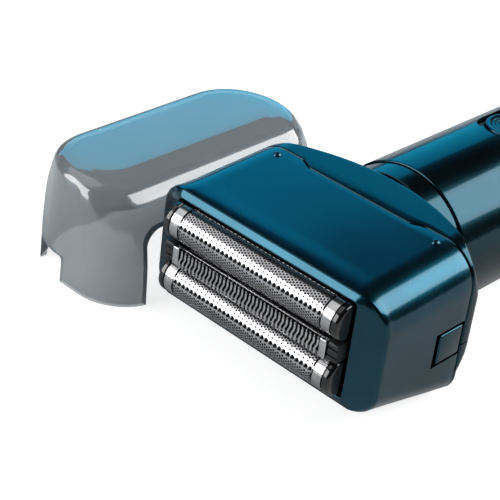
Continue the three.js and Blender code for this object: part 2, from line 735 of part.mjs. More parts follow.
function neckRing() {
  const y = [BASE_MID - 6, SLEEVE_START - GAP];
  const ring = cut(
    rodY(NECK_RADIUS, y, 0, 0, 48),
    rodY(MOUNT_OUTER + GAP, [y[0] - CLEAR, y[1] + CLEAR], 0, 0, 48),
  );
  return cut(ring, insideBasePlan(-GAP));
}

function motorMount() {
  const tube = cut(
    rodY(MOUNT_OUTER, [MOUNT_FRONT, MOUNT_BACK], 0, 0, 32),
    rodY(MOTOR_RADIUS + GAP, [MOTOR_FRONT, MOUNT_BACK - 1.6], 0, 0, 32),
    rodY(3 + GAP, [MOUNT_FRONT - CLEAR, MOUNT_BACK], 0, 0, 24),
  );
  return cut(tube, rodY(4, [MOUNT_BACK - 3, MOUNT_BACK + CLEAR], 0, 0, 24));
}

// ---- handle ---------------------------------------------------------------
const SLEEVE_BORE = HANDLE_RADIUS - WALL;

function stadium(halfWidth, length, start) {
  const shape = new THREE.Shape();
  const near = start + halfWidth;
  const far = start + length - halfWidth;
  shape.absarc(0, far, halfWidth, 0, Math.PI, false);
  shape.absarc(0, near, halfWidth, Math.PI, 2 * Math.PI, false);
  shape.closePath();
  return shape;
}

function bodySleeve() {
  const chamfer = 0.35;
  const tube = turnedY([
    [SLEEVE_BORE, SLEEVE_START], [HANDLE_RADIUS - chamfer, SLEEVE_START],
    [HANDLE_RADIUS, SLEEVE_START + chamfer], [HANDLE_RADIUS, SLEEVE_END - chamfer],
    [HANDLE_RADIUS - chamfer, SLEEVE_END], [SLEEVE_BORE, SLEEVE_END], [SLEEVE_BORE, SLEEVE_START],
  ], 56);
  const window = raised(stadium(RECESS_HALF_WIDTH, RECESS_LENGTH, RECESS_START), [0, HANDLE_RADIUS + CLEAR]);
  return cut(tube, window);
}

const BUTTON_Y = RECESS_START + RECESS_HALF_WIDTH + 0.4;
const WINDOW_Y = BUTTON_Y + 13.4;
const WINDOW_RADIUS = 1.5;
const PLATE_BOTTOM = HANDLE_RADIUS - 6.84;

function controlPlate() {
  const face = HANDLE_RADIUS - RECESS_DEPTH;
  const outline = stadium(RECESS_HALF_WIDTH - GAP, RECESS_LENGTH - 2 * GAP, RECESS_START + GAP);
  const plate = raised(outline, [PLATE_BOTTOM, HANDLE_RADIUS]);
  const crown = rodY(face, [RECESS_START - CLEAR, RECESS_START + RECESS_LENGTH + CLEAR], 0, 0, 56);
  return cut(
    plate.intersect(crown),
    rodZ(BUTTON_RADIUS + GAP, [PLATE_BOTTOM - CLEAR, HANDLE_RADIUS], 0, BUTTON_Y, 32),
    rodZ(WINDOW_RADIUS + GAP, [PLATE_BOTTOM - CLEAR, HANDLE_RADIUS], 0, WINDOW_Y, 16),
  );
}

const BOARD_TOP = 7.2;
const BOARD_THICK = 1.2;
const SWITCH_TOP = 9;

function powerButton() {
  const top = HANDLE_RADIUS - RECESS_DEPTH + 0.5;
  const geometry = new THREE.LatheGeometry([
    [0, PLATE_BOTTOM - 1], [1.6, PLATE_BOTTOM - 1],
    [1.6, PLATE_BOTTOM + 1.6], [BUTTON_RADIUS, PLATE_BOTTOM + 1.6],
    [BUTTON_RADIUS, top - 0.5], [BUTTON_RADIUS - 0.5, top], [0, top - 0.25],
  ].map(([radius, z]) => new THREE.Vector2(radius, z)), 32);
  geometry.rotateX(Math.PI / 2);
  geometry.translate(0, BUTTON_Y, 0);
  return solid(geometry);
}

function indicatorWindow() {
  return rodZ(WINDOW_RADIUS, [PLATE_BOTTOM + 1, HANDLE_RADIUS - RECESS_DEPTH - 0.1], 0, WINDOW_Y, 16);
}

function powerSwitch() {
  return join(
    block([-3, 3], [BUTTON_Y - 3, BUTTON_Y + 3], [BOARD_TOP + GAP, SWITCH_TOP]),
    rodZ(1.4, [SWITCH_TOP - 0.5, PLATE_BOTTOM - 1 - BUTTON_TRAVEL - GAP], 0, BUTTON_Y, 16),
  );
}

const TRAY_RADIUS = SLEEVE_BORE - GAP;
const TRAY_START = MOUNT_BACK + GAP;
const TAIL_SPIGOT = SLEEVE_END - 6;
const TRAY_END = TAIL_SPIGOT - GAP;
const CELL_Z = -4.4;
const TAIL_SCREW_X = 11;

function innerChassis() {
  const y = [TRAY_START, TRAY_END];
  const wide = [-HANDLE_RADIUS, HANDLE_RADIUS];
  const above = [BOARD_TOP - BOARD_THICK - GAP, HANDLE_RADIUS];
  const trough = cut(
    rodY(TRAY_RADIUS, y, 0, 0, 36),
    rodY(TRAY_RADIUS - 1.4, [y[0] + 1.6, y[1] - 1.6], 0, 0, 36),
    block(wide, [y[0] - CLEAR, y[1] + CLEAR], above),
  );
  const bulkheads = [CELL_START - 2, CELL_START + CELL_LENGTH + 0.8].map((at) => cut(
    rodY(TRAY_RADIUS - 0.7, [at, at + 1.2], 0, 0, 36),
    block(wide, [at - CLEAR, at + 3], above),
  ));
  const holes = [-1, 1].map((side) => rodY(
    SCREW_RADIUS + GAP,
    [TRAY_END - 3, TRAY_END + CLEAR],
    side * TAIL_SCREW_X,
    0,
    14,
  ));
  return cut(
    join(trough, ...bulkheads),
    ...holes,
    rodY(3, [TRAY_START - CLEAR, TRAY_START + 3], 0, -6, 20),
    rodY(6, [TRAY_END - 3, TRAY_END + CLEAR], 0, 0, 24),
  );
}

function batteryCell() {
  const rear = CELL_START + CELL_LENGTH - 0.8;
  return turnedY([
    [0, CELL_START], [2.8, CELL_START], [2.8, CELL_START + 1], [CELL_RADIUS - 0.6, CELL_START + 1],
    [CELL_RADIUS, CELL_START + 1.6], [CELL_RADIUS, rear - 0.6], [CELL_RADIUS - 0.6, rear], [0, rear],
  ], 24, 0, CELL_Z);
}

function batteryContact(at) {
  return block([-4, 4], [at, at + 0.4], [CELL_Z - 4, CELL_Z + 4]);
}

function circuitBoard() {
  return block([-12, 12], [TRAY_START + 3, TRAY_END - 4], [BOARD_TOP - BOARD_THICK, BOARD_TOP]);
}

const SOCKET_HALF = 4.6;
const SOCKET_HALF_HEIGHT = 1.7;

function endCap() {
  const radius = HANDLE_RADIUS;
  const start = SLEEVE_END + GAP;
  const round = 2.2;
  const profile = [
    [0, TAIL_SPIGOT], [SLEEVE_BORE - GAP, TAIL_SPIGOT], [SLEEVE_BORE - GAP, TAIL_SPIGOT + 1.6],
    [SLEEVE_BORE - 1.5, TAIL_SPIGOT + 1.6], [SLEEVE_BORE - 1.5, TAIL_SPIGOT + 3.6],
    [SLEEVE_BORE - GAP, TAIL_SPIGOT + 3.6], [SLEEVE_BORE - GAP, start],
    [radius - 0.35, start], [radius, start + 0.35],
  ];
  const steps = 3;
  for (let k = 0; k <= steps; k += 1) {
    const angle = (k / steps) * (Math.PI / 2);
    profile.push([radius - round + round * Math.cos(angle), TAIL - round + round * Math.sin(angle)]);
  }
  profile.push([0, TAIL]);
  const port = block(
    [-SOCKET_HALF - 1, SOCKET_HALF + 1],
    [TAIL_SPIGOT - CLEAR, TAIL + CLEAR],
    [-SOCKET_HALF_HEIGHT - 1, SOCKET_HALF_HEIGHT + 1],
  );
  const screws = [-1, 1].map((side) => join(
    rodY(SCREW_RADIUS + GAP, [TAIL_SPIGOT - CLEAR, TAIL], side * TAIL_SCREW_X, 0, 14),
    rodY(SCREW_HEAD + GAP, [TAIL - 3, TAIL + CLEAR], side * TAIL_SCREW_X, 0, 18),
  ));
  return cut(turnedY(profile, 48), port, ...screws);
}

function endCapSeal() {
  const y = [TAIL_SPIGOT + 1.6 + GAP, TAIL_SPIGOT + 3.6 - GAP];
  return cut(
    rodY(SLEEVE_BORE - GAP, y, 0, 0, 32),
    rodY(SLEEVE_BORE - 1.5 + GAP, [y[0] - CLEAR, y[1] + CLEAR], 0, 0, 32),
  );
}

function tailScrew(side) {
  const seat = TAIL - 3 + GAP;
  return turnedY([
    [0, TRAY_END - 2], [SCREW_RADIUS, TRAY_END - 1.4], [SCREW_RADIUS, seat],
    [SCREW_HEAD, seat], [SCREW_HEAD, seat + 1.4], [0, seat + 1.4],
  ], 14, side * TAIL_SCREW_X, 0);
}

// Metal mouth of the charging socket, open to the tail.
function chargingSocket() {
  const wall = 0.7;
  const shell = block(
    [-SOCKET_HALF - wall, SOCKET_HALF + wall],
    [TAIL - 8.5, TAIL - 0.5],
    [-SOCKET_HALF_HEIGHT - wall, SOCKET_HALF_HEIGHT + wall],
  );
  const mouth = block(
    [-SOCKET_HALF, SOCKET_HALF],
    [TAIL - 7.5, TAIL + CLEAR],
    [-SOCKET_HALF_HEIGHT, SOCKET_HALF_HEIGHT],
  );
  const tongue = block([-3.2, 3.2], [TAIL - 8, TAIL - 2.2], [-0.35, 0.35]);
  return join(cut(shell, mouth), tongue);
}

// ---- protective cap -------------------------------------------------------
// Sections from the floor up: how far the end, near and far walls and the plan
// corners draw in from the floor outline. The near wall leans in most.
const CAP_SECTIONS = [
  { height: 0, ends: 0, near: 0, far: 0, tighter: 0 },
  { height: 12, ends: 0.3, near: 0.9, far: 0.3, tighter: 0.5 },
  { height: 20, ends: 0.8, near: 2.7, far: 0.9, tighter: 1 },
  { height: CAP_EDGE, ends: 1.2, near: 5, far: 1.8, tighter: 1.5 },
  { height: 25.8, ends: 2, near: 7.9, far: 2.6, tighter: 2.5 },
  { height: 26.9, ends: 3.6, near: 10.6, far: 4, tighter: 3.5 },
  { height: CAP_HEIGHT, ends: 7, near: 13.6, far: 7, tighter: 5.5 },
];

// The cap's outside, or its hollow when inset; drop lowers the floor ring.
function capSkin(inset, drop) {
  const rings = CAP_SECTIONS.map(({ height, ends, near, far, tighter }, level) => {
    const z = -HANDLE_RADIUS + (level === 0 ? -drop : height - inset);
    const outline = roundedCorners(
      CAP_HALF_LENGTH - ends - inset,
      -CAP_HALF_WIDTH + far + inset,
      CAP_HALF_WIDTH - near - inset,
      CAP_CORNER_FAR - tighter - inset,
      CAP_CORNER_NEAR - tighter - inset,
    );
    return outline.map(([along, across]) => new THREE.Vector3(CAP_X + across, CAP_Y + along, z));
  });
  return loft(rings);
}

// The arch in the near wall: a rectangle with its two upper corners rounded.
function archTool() {
  const shape = new THREE.Shape();
  const half = CAP_ARCH_HALF;
  const top = CAP_ARCH_HEIGHT;
  const corner = CAP_ARCH_CORNER;
  shape.moveTo(-half, -CLEAR);
  shape.lineTo(half, -CLEAR);
  shape.lineTo(half, top - corner);
  shape.absarc(half - corner, top - corner, corner, 0, Math.PI / 2, false);
  shape.absarc(-half + corner, top - corner, corner, Math.PI / 2, Math.PI, false);
  shape.closePath();
  const reach = CAP_HALF_WIDTH + 2;
  const geometry = new THREE.ExtrudeGeometry(shape, { depth: reach, bevelEnabled: false, curveSegments: 6 });
  // (y, z, x) -> (x, y, z)
  geometry.rotateX(Math.PI / 2);
  geometry.rotateZ(Math.PI / 2);
  geometry.translate(CAP_X, CAP_Y, -HANDLE_RADIUS);
  return solid(geometry);
}

function protectiveCap() {
  const notchX = CAP_X + CAP_NOTCH_SHIFT;
  const notch = block(
    [notchX - CAP_NOTCH_WIDTH / 2, notchX + CAP_NOTCH_WIDTH / 2],
    [CAP_Y - CAP_HALF_LENGTH - CLEAR, CAP_Y + CAP_HALF_LENGTH + CLEAR],
    [-HANDLE_RADIUS - CLEAR, -HANDLE_RADIUS + CAP_NOTCH_HEIGHT],
  );
  return cut(capSkin(0, 0), capSkin(CAP_WALL, CLEAR), archTool(), notch);
}

// ---- assembly -------------------------------------------------------------
const head = new THREE.Group();
piece(head, "foil_frame", foilFrame(), satinBlue);
piece(head, "foil_cassette", foilCassette(), blackPlastic);
for (const [name, z] of [["upper", UPPER_Z], ["lower", LOWER_Z]]) {
  const foil = arched(FOIL_RADIUS, FOIL_LEG, FOIL_HALF, FOIL_RADIUS - FOIL_THICK);
  piece(head, `${name}_foil`, foil.translate([0, 0, z]), steel);
  piece(head, `${name}_foil_end_left`, foilEnd(-1, z), blackPlastic);
  piece(head, `${name}_foil_end_right`, foilEnd(1, z), blackPlastic);
}
piece(head, "trimmer_comb", trimmerComb(), steel);
piece(head, "trimmer_blade", trimmerBlade(), steel);
piece(head, "trimmer_end_left", trimmerEnd(-1), darkGrey);
piece(head, "trimmer_end_right", trimmerEnd(1), darkGrey);
piece(head, "trimmer_carrier", trimmerCarrier(), blackPlastic);
shaver.add(head);

const drive = new THREE.Group();
for (const [name, z] of [["upper", UPPER_Z], ["lower", LOWER_Z]]) {
  piece(drive, `${name}_inner_cutter`, innerCutter(z), steel);
  piece(drive, `${name}_cutter_carrier`, cutterCarrier(z), darkGrey);
  piece(drive, `${name}_cutter_spring`, cutterSpring(z), springSteel);
}
piece(drive, "oscillator_bridge", oscillatorBridge(), darkGrey);
piece(drive, "flex_arm_left", flexArm(-1), darkGrey);
piece(drive, "flex_arm_right", flexArm(1), darkGrey);
piece(drive, "eccentric", eccentric(), darkGrey);
piece(drive, "motor_shaft", motorShaft(), steel);
piece(drive, "motor_can", motorCan(), springSteel);
piece(drive, "motor_mount", motorMount(), blackPlastic);
piece(drive, "drive_deck", driveDeck(), blackPlastic);
piece(drive, "shaft_seal", shaftSeal(), rubber);
for (const [name, side] of [["left", -1], ["right", 1]]) {
  piece(drive, `release_button_${name}`, releaseButton(side), satinBlue);
  piece(drive, `release_spring_${name}`, releaseSpring(side), springSteel);
  piece(drive, `deck_screw_front_${name}`, deckScrew(side * DECK_SCREW_X, DECK_SCREW_Z), springSteel);
  piece(drive, `deck_screw_rear_${name}`, deckScrew(side * DECK_SCREW_X, -DECK_SCREW_Z), springSteel);
}
shaver.add(drive);

const handle = new THREE.Group();
piece(handle, "head_base_front", baseHalf(true), glossBlue);
piece(handle, "head_base_rear", baseHalf(false), glossBlue);
piece(handle, "neck_ring", neckRing(), glossBlue);
piece(handle, "body_sleeve", bodySleeve(), glossBlue);
piece(handle, "control_plate", controlPlate(), glossBlue);
piece(handle, "power_button", powerButton(), satinBlue);
piece(handle, "indicator_window", indicatorWindow(), windowPlastic);
piece(handle, "power_switch", powerSwitch(), blackPlastic);
piece(handle, "inner_chassis", innerChassis(), blackPlastic);
piece(handle, "battery_cell", batteryCell(), cellWrap);
piece(handle, "battery_contact_front", batteryContact(CELL_START - 0.7), springSteel);
piece(handle, "battery_contact_rear", batteryContact(CELL_START + CELL_LENGTH - 0.4), springSteel);
piece(handle, "circuit_board", circuitBoard(), boardGreen);
piece(handle, "end_cap", endCap(), glossBlue);
piece(handle, "end_cap_seal", endCapSeal(), rubber);
piece(handle, "charging_socket", chargingSocket(), springSteel);
piece(handle, "tail_screw_left", tailScrew(-1), springSteel);
piece(handle, "tail_screw_right", tailScrew(1), springSteel);
shaver.add(handle);

piece(shaver, "protective_cap", protectiveCap(), smokeClear);

// Origin at the middle of the floor rectangle.
const extent = new THREE.Box3().setFromObject(shaver);
const middle = extent.getCenter(new THREE.Vector3());
shaver.position.set(-middle.x, -middle.y, -extent.min.z);
shaver.updateMatrixWorld(true);

export default shaver;
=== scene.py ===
import math

import bmesh
import bpy
from bpy.props import FloatProperty, FloatVectorProperty, IntProperty, PointerProperty
from mathutils import Matrix, Vector


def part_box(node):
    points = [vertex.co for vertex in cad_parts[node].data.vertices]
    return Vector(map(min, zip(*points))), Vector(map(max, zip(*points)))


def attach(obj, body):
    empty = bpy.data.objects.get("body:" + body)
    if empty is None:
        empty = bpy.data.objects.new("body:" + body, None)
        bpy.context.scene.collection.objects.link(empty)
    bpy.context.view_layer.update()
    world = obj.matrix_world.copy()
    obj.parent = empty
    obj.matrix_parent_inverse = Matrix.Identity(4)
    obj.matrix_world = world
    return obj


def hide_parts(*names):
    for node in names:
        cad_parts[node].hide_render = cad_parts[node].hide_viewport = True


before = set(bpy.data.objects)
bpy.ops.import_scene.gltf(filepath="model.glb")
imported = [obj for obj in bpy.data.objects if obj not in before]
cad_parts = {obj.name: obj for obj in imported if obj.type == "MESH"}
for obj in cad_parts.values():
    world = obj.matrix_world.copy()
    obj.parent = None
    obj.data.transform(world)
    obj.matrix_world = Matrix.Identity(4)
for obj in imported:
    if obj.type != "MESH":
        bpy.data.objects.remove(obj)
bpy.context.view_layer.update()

bl_info = {
    "name": "Foil shaver with clear cap",
    "version": (1, 0, 0),
    "blender": (4, 5, 0),
    "location": "3D View > Sidebar > Shaver",
    "description": "Builds the looks of a foil shaver and its cap round the packed model",
    "category": "Object",
}

# The pieces are drawn in millimetres about the handle's axis, with the rim of the
# head at y = 0, and placed once, when they are finished.
MM = 0.001
_sleeve_low, _sleeve_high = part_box("body_sleeve")
AXIS_X = (_sleeve_low.x + _sleeve_high.x) / 2
AXIS_Z = (_sleeve_low.z + _sleeve_high.z) / 2
RIM_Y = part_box("foil_frame")[0].y
PLACE = Matrix.Translation((AXIS_X, RIM_Y, AXIS_Z)) @ Matrix.Scale(MM, 4)

# Sizes, in millimetres. POLE is the radius that stands for the axis in a turned profile.
GAP = 0.3
POLE = 0.01
WALL = 1.8
HEAD_HALF = 31
RIM_FRONT, RIM_REAR = 16.4, -10.2
BASE_FRONT, BASE_REAR = 17.6, -17.3
HEAD_CORNER_FRONT, HEAD_CORNER_REAR = 8.5, 5.5
FRAME_LENGTH = 29.4
PARTING_STEP, PARTING_HALF, PARTING_RAMP = 1.5, 13.4, 4.2
BASE_MID = 39.6
BASE_ARC_FULL, BASE_ARC_FACE = 79, 45.5
BASE_DRAW_START = 6
BASE_SEAM = -4
OPENING_HALF, OPENING_FRONT, OPENING_REAR = 24.4, 14.5, -8
OPENING_CORNER = 0.8
RIM_THICK = 2.6
NOTCH_START, NOTCH_FRONT, NOTCH_REAR = 20, 2.4, -5.9
STUD_X, STUD_FROM_EDGE, STUD_RADIUS, STUD_SINK = 22, 2.7, 1.1, 0.6
NECK_RADIUS = 17.9
THROAT_RADIUS = 13.9
HANDLE_RADIUS = 18.34
SLEEVE_BORE = HANDLE_RADIUS - WALL
SLEEVE_START, SLEEVE_END = 46, 150
RECESS_HALF_WIDTH, RECESS_LENGTH, RECESS_START = 7.8, 30, 74.8
RECESS_DEPTH = 1.1
BUTTON_Y, BUTTON_RADIUS = 83.0, 6
WINDOW_Y, WINDOW_RADIUS = 96.4, 1.5
PLATE_BOTTOM = 11.5
# How far the cuts for the controls reach, from inside the sleeve to above it.
CUT_LOW, CUT_HIGH = 5, 25
TAIL = 156
SPIGOT_START = SLEEVE_END - 6
SCREW_X, SCREW_BORE, WELL_RADIUS, WELL_DEPTH = 11.0, 1.4, 2.2, 3
FOIL_RADIUS, FOIL_CENTRE, FOIL_HALF = 3.95, -0.55, 22.2
FOIL_LEG = 2.2
BARS_HALF, COMB_HALF, TRIMMER_HALF = 19.9, 21.4, 24.1
TRIMMER_LOW, TRIMMER_HIGH = 1.4, 5.6
BAR_FRONT, BAR_BACK, PAD_BACK, RAIL_BACK = -3.6, -2.9, -2.65, -1.2
FOIL_END_RADIUS = 4.1
UPPER_Z, LOWER_Z = 10.1, -3.1
CAP_X, CAP_Y = -51.2, 28
CAP_HALF_LENGTH, CAP_HALF_WIDTH, CAP_WALL = 34.8, 18.1, 1.5
CAP_CORNER_NEAR, CAP_CORNER_FAR = 12.5, 16.5
CAP_ARCH_HALF, CAP_ARCH_HEIGHT, CAP_ARCH_CORNER = 25.5, 18, 4
CAP_NOTCH_X, CAP_NOTCH_WIDTH, CAP_NOTCH_HEIGHT = -57.2, 10.3, 6.3
FLOOR_Z = -HANDLE_RADIUS


# ---- properties -------------------------------------------------------------
def colour_property(label, description, default):
    return FloatVectorProperty(
        name=label, description=description, default=default,
        subtype="COLOR", size=3, min=0, max=1,
    )


class ShaverSizes(bpy.types.PropertyGroup):
    """Sizes of the fine detail, in millimetres."""

    hole_pitch: FloatProperty(
        name="Hole pitch",
        description="Distance between neighbouring holes in the foils, in millimetres",
        default=0.69, min=0.4, max=2,
    )
    hole_diameter: FloatProperty(
        name="Hole diameter", description="Diameter of the round holes in the foils, in millimetres",
        default=0.5, min=0.1, max=1,
    )
    foil_thickness: FloatProperty(
        name="Foil thickness", description="Thickness of the foil sheet, in millimetres",
        default=0.07, min=0.05, max=0.3,
    )
    tooth_pitch: FloatProperty(
        name="Tooth pitch", description="Distance between the trimmer's bars, in millimetres",
        default=1.03, min=0.6, max=2,
    )
    tooth_width: FloatProperty(
        name="Tooth width", description="Width of one trimmer bar, in millimetres",
        default=0.46, min=0.2, max=1,
    )
    turned_segments: IntProperty(
        name="Segments", description="Segments round a turned piece",
        default=160, min=32, max=256,
    )


class ShaverColours(bpy.types.PropertyGroup):
    """Colours of the finishes."""

    satin_blue: colour_property(
        "Satin blue", "Metallic paint of the head and the release buttons", (0.0008, 0.058, 0.092))
    gloss_blue: colour_property(
        "Gloss blue", "Metallic lacquer of the head base and the handle", (0.003, 0.038, 0.056))
    steel: colour_property("Steel", "Foils", (0.7, 0.7, 0.71))
    smoke: colour_property("Smoke", "Tint of the clear cap", (0.41, 0.445, 0.47))
    black_plastic: colour_property(
        "Black plastic", "Foil cassette, trimmer carrier, deck and chassis", (0.003, 0.003, 0.0035))
    dark_grey: colour_property(
        "Dark grey", "Trimmer ends and drive pieces", (0.012, 0.013, 0.014))


class ShaverStage(bpy.types.PropertyGroup):
    """Camera and studio light."""

    lens: FloatProperty(
        name="Lens", description="Focal length of the camera",
        default=116.06, min=20, max=300, unit="CAMERA")
    azimuth: FloatProperty(
        name="Azimuth", description="Camera direction round the object",
        default=math.radians(39.98), subtype="ANGLE")
    elevation: FloatProperty(
        name="Elevation", description="Camera height above the horizon",
        default=math.radians(31.48), subtype="ANGLE")
    roll: FloatProperty(
        name="Roll", description="Camera turn about its own view",
        default=math.radians(7.62), subtype="ANGLE")
    panel: FloatProperty(
        name="Panel", description="Radiance of the large panel behind the object",
        default=5.0, min=0, max=50)
    blue_panel: FloatProperty(
        name="Blue panel", description="Radiance of the tinted panel behind on the left",
        default=1.3, min=0, max=50)
    overhead: FloatProperty(
        name="Overhead", description="Radiance of the light above", default=0.8, min=0, max=50)
    front_panel: FloatProperty(
        name="Front panel", description="Radiance of the low panel in front on the left",
        default=5.0, min=0, max=50)


# ---- mesh helpers -----------------------------------------------------------
def lerp(a, b, t):
    return a + (b - a) * t


def smoothstep(value, low, high):
    t = min(max((value - low) / (high - low), 0), 1)
    return t * t * (3 - 2 * t)


def smooth_path(stations, steps):
    """Tuples of numbers, joined by a smooth curve through every station."""
    gaps = [
        max(math.dist(a, b), 1e-6) for a, b in zip(stations, stations[1:])
    ]
    slopes = [
        [(q - p) / gap for p, q in zip(a, b)]
        for a, b, gap in zip(stations, stations[1:], gaps)
    ]
    tangents = [slopes[0]]
    for before, after, g0, g1 in zip(slopes, slopes[1:], gaps, gaps[1:]):
        tangents.append([(p * g1 + q * g0) / (g0 + g1) for p, q in zip(before, after)])
    tangents.append(slopes[-1])
    path = []
    for k, gap in enumerate(gaps):
        for step in range(steps):
            t = step / steps
            h00, h10 = 2 * t**3 - 3 * t**2 + 1, t**3 - 2 * t**2 + t
            h01, h11 = -2 * t**3 + 3 * t**2, t**3 - t**2
            path.append(tuple(
                h00 * a + h10 * gap * m + h01 * b + h11 * gap * n
                for a, m, b, n in zip(stations[k], tangents[k], stations[k + 1], tangents[k + 1])
            ))
    path.append(tuple(stations[-1]))
    return path


def new_object(name, points, faces):
    """A closed mesh in millimetres, its doubles merged and its faces turned outwards."""
    mesh = bpy.data.meshes.new(name)
    mesh.from_pydata([tuple(p) for p in points], [], faces)
    work = bmesh.new()
    work.from_mesh(mesh)
    bmesh.ops.remove_doubles(work, verts=work.verts, dist=1e-4)
    bmesh.ops.recalc_face_normals(work, faces=work.faces)
    work.to_mesh(mesh)
    work.free()
    obj = bpy.data.objects.new(name, mesh)
    bpy.context.scene.collection.objects.link(obj)
    return obj


def skin(name, rings, loop=False):
    """Rings of equal length joined by quads. A loop joins the last ring to the first;
    otherwise both ends are closed."""
    count = len(rings[0])
    points = [point for ring in rings for point in ring]
    faces = []
    pairs = [(k, k + 1) for k in range(len(rings) - 1)]
    if loop:
        pairs.append((len(rings) - 1, 0))
    for a, b in pairs:
        for k in range(count):
            following = (k + 1) % count
            faces.append((a * count + k, a * count + following, b * count + following, b * count + k))
    if not loop:
        faces.append(tuple(range(count)))
        faces.append(tuple(reversed(range((len(rings) - 1) * count, len(rings) * count))))
    return new_object(name, points, faces)


def turned(name, profile, segments, centre=(0, 0), along="Y"):
    """A profile of (radius, position) pairs turned about the Y or the Z axis, its last ring
    joined to its first. A profile that runs in to POLE keeps a bore of that radius."""
    rings = []
    for radius, position in profile:
        ring = []
        for k in range(segments):
            angle = 2 * math.pi * k / segments
            across, up = radius * math.cos(angle), radius * math.sin(angle)
            if along == "Y":
                ring.append((centre[0] + across, position, centre[1] + up))
            else:
                ring.append((centre[0] + across, centre[1] + up, position))
        rings.append(ring)
    return skin(name, rings, loop=True)


def rod(name, radius, low, high, segments, centre=(0, 0), along="Y"):
    """A plain cylinder between two positions on its axis."""
    profile = [(POLE, low), (radius, low), (radius, high), (POLE, high)]
    return turned(name, profile, segments, centre, along)


def block(name, low, high):
    corners = [(x, y, z) for x in (low[0], high[0]) for y in (low[1], high[1])
               for z in (low[2], high[2])]
    faces = [(0, 1, 3, 2), (4, 6, 7, 5), (0, 4, 5, 1), (2, 3, 7, 6), (0, 2, 6, 4), (1, 5, 7, 3)]
    return new_object(name, corners, faces)


def extruded(name, outline, low, high, axes):
    """An outline of (a, b) pairs pushed along the third axis; axes names a, b and the third."""
    order = [axes.index(axis) for axis in "xyz"]
    rings = []
    for depth in (low, high):
        rings.append([tuple((a, b, depth)[k] for k in order) for a, b in outline])
    return skin(name, rings)


def bake(obj):
    """Applies every modifier and leaves a plain mesh."""
    graph = bpy.context.evaluated_depsgraph_get()
    graph.update()
    mesh = bpy.data.meshes.new_from_object(obj.evaluated_get(graph), depsgraph=graph)
    obj.modifiers.clear()
    old = obj.data
    obj.data = mesh
    bpy.data.meshes.remove(old)
    return obj


def combine(obj, tool, operation="DIFFERENCE"):
    modifier = obj.modifiers.new("combine", "BOOLEAN")
    modifier.operation = operation
    modifier.solver = "EXACT"
    modifier.object = tool
    bake(obj)
    bpy.data.objects.remove(tool)
    return obj


def bevelled(obj, width, segments=2, angle=40):
    modifier = obj.modifiers.new("bevel", "BEVEL")
    modifier.width = width
    modifier.segments = segments
    modifier.limit_method = "ANGLE"
    modifier.angle_limit = math.radians(angle)
    return bake(obj)


def joined(name, parts):
    """One object holding the meshes of several."""
    work = bmesh.new()
    for part in parts:
        work.from_mesh(part.data)
    mesh = bpy.data.meshes.new(name)
    work.to_mesh(mesh)
    work.free()
    for part in parts:
        bpy.data.objects.remove(part)
    obj = bpy.data.objects.new(name, mesh)
    bpy.context.scene.collection.objects.link(obj)
    return obj


def shade(obj, angle=32, radial=None):
    """Smooth shading with sharp edges by angle. Faces on the cylinder of that radius
    get the cylinder's own normals, so a cut in it leaves no facets."""
    mesh = obj.data
    for face in mesh.polygons:
        face.use_smooth = True
    mesh.set_sharp_from_angle(angle=math.radians(angle))
    if radial is None:
        return
    normals = [corner.vector.copy() for corner in mesh.corner_normals]
    for face in mesh.polygons:
        for loop in face.loop_indices:
            point = mesh.vertices[mesh.loops[loop].vertex_index].co
            outward = Vector((point.x, 0, point.z))
            if abs(outward.length - radial) < 0.02 and face.normal.dot(outward.normalized()) > 0.97:
                normals[loop] = outward.normalized()
    mesh.normals_split_custom_set(normals)


def settle(obj, name, body, nodes, slot, finish=None, angle=32, radial=None):
    """Names, shades, places and paints a finished piece, hangs it on its body's empty and hides the
    packed parts that it stands in for.
    Its finish is the slot's own, unless another is named."""
    obj.name = name
    obj.data.name = name
    shade(obj, angle, radial)
    obj.data.transform(PLACE)
    obj.data.materials.clear()
    obj.data.materials.append(finish_of(finish or slot))
    for face in obj.data.polygons:
        face.material_index = 0
    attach(obj, body)
    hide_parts(*nodes)


# ---- shader groups and materials ---------------------------------------------
class Graph:
    """Adds nodes to a tree and links them."""

    def __init__(self, tree):
        self.tree = tree
        self.count = 0

    def add(self, kind, values=None, **settings):
        node = self.tree.nodes.new(kind)
        node.location = (self.count * 180 - 900, 0)
        self.count += 1
        for key, value in settings.items():
            setattr(node, key, value)
        for key, value in (values or {}).items():
            if isinstance(value, bpy.types.NodeSocket):
                self.tree.links.new(value, node.inputs[key])
            else:
                node.inputs[key].default_value = value
        return node

    def math(self, operation, a, b=0.0):
        return self.add("ShaderNodeMath", {0: a, 1: b}, operation=operation).outputs[0]

    def noise(self, vector, scale, detail):
        values = {"Vector": vector, "Scale": scale, "Detail": detail}
        return self.add("ShaderNodeTexNoise", values).outputs[0]

    def scaled(self, vector, factor):
        return self.add("ShaderNodeVectorMath", {0: vector, 1: factor}, operation="MULTIPLY").outputs[0]

    def spread(self, value, low, high, to_low, to_high):
        return self.add(
            "ShaderNodeMapRange",
            {"Value": value, "From Min": low, "From Max": high, "To Min": to_low, "To Max": to_high},
        ).outputs[0]

    def mix(self, factor, a, b):
        node = self.add("ShaderNodeMix", data_type="RGBA")
        for socket, value in ((node.inputs[0], factor), (node.inputs[6], a), (node.inputs[7], b)):
            if isinstance(value, bpy.types.NodeSocket):
                self.tree.links.new(value, socket)
            else:
                socket.default_value = value
        return node.outputs[2]


def shader_group(name, inputs, outputs):
    """An empty shader node group with named sockets, and its two end nodes."""
    tree = bpy.data.node_groups.new(name, "ShaderNodeTree")
    for label, kind, default in inputs:
        socket = tree.interface.new_socket(label, in_out="INPUT", socket_type=kind)
        if default is not None:
            socket.default_value = default
    for label, kind in outputs:
        tree.interface.new_socket(label, in_out="OUTPUT", socket_type=kind)
    graph = Graph(tree)
    start = tree.nodes.new("NodeGroupInput")
    end = tree.nodes.new("NodeGroupOutput")
    return graph, start, end


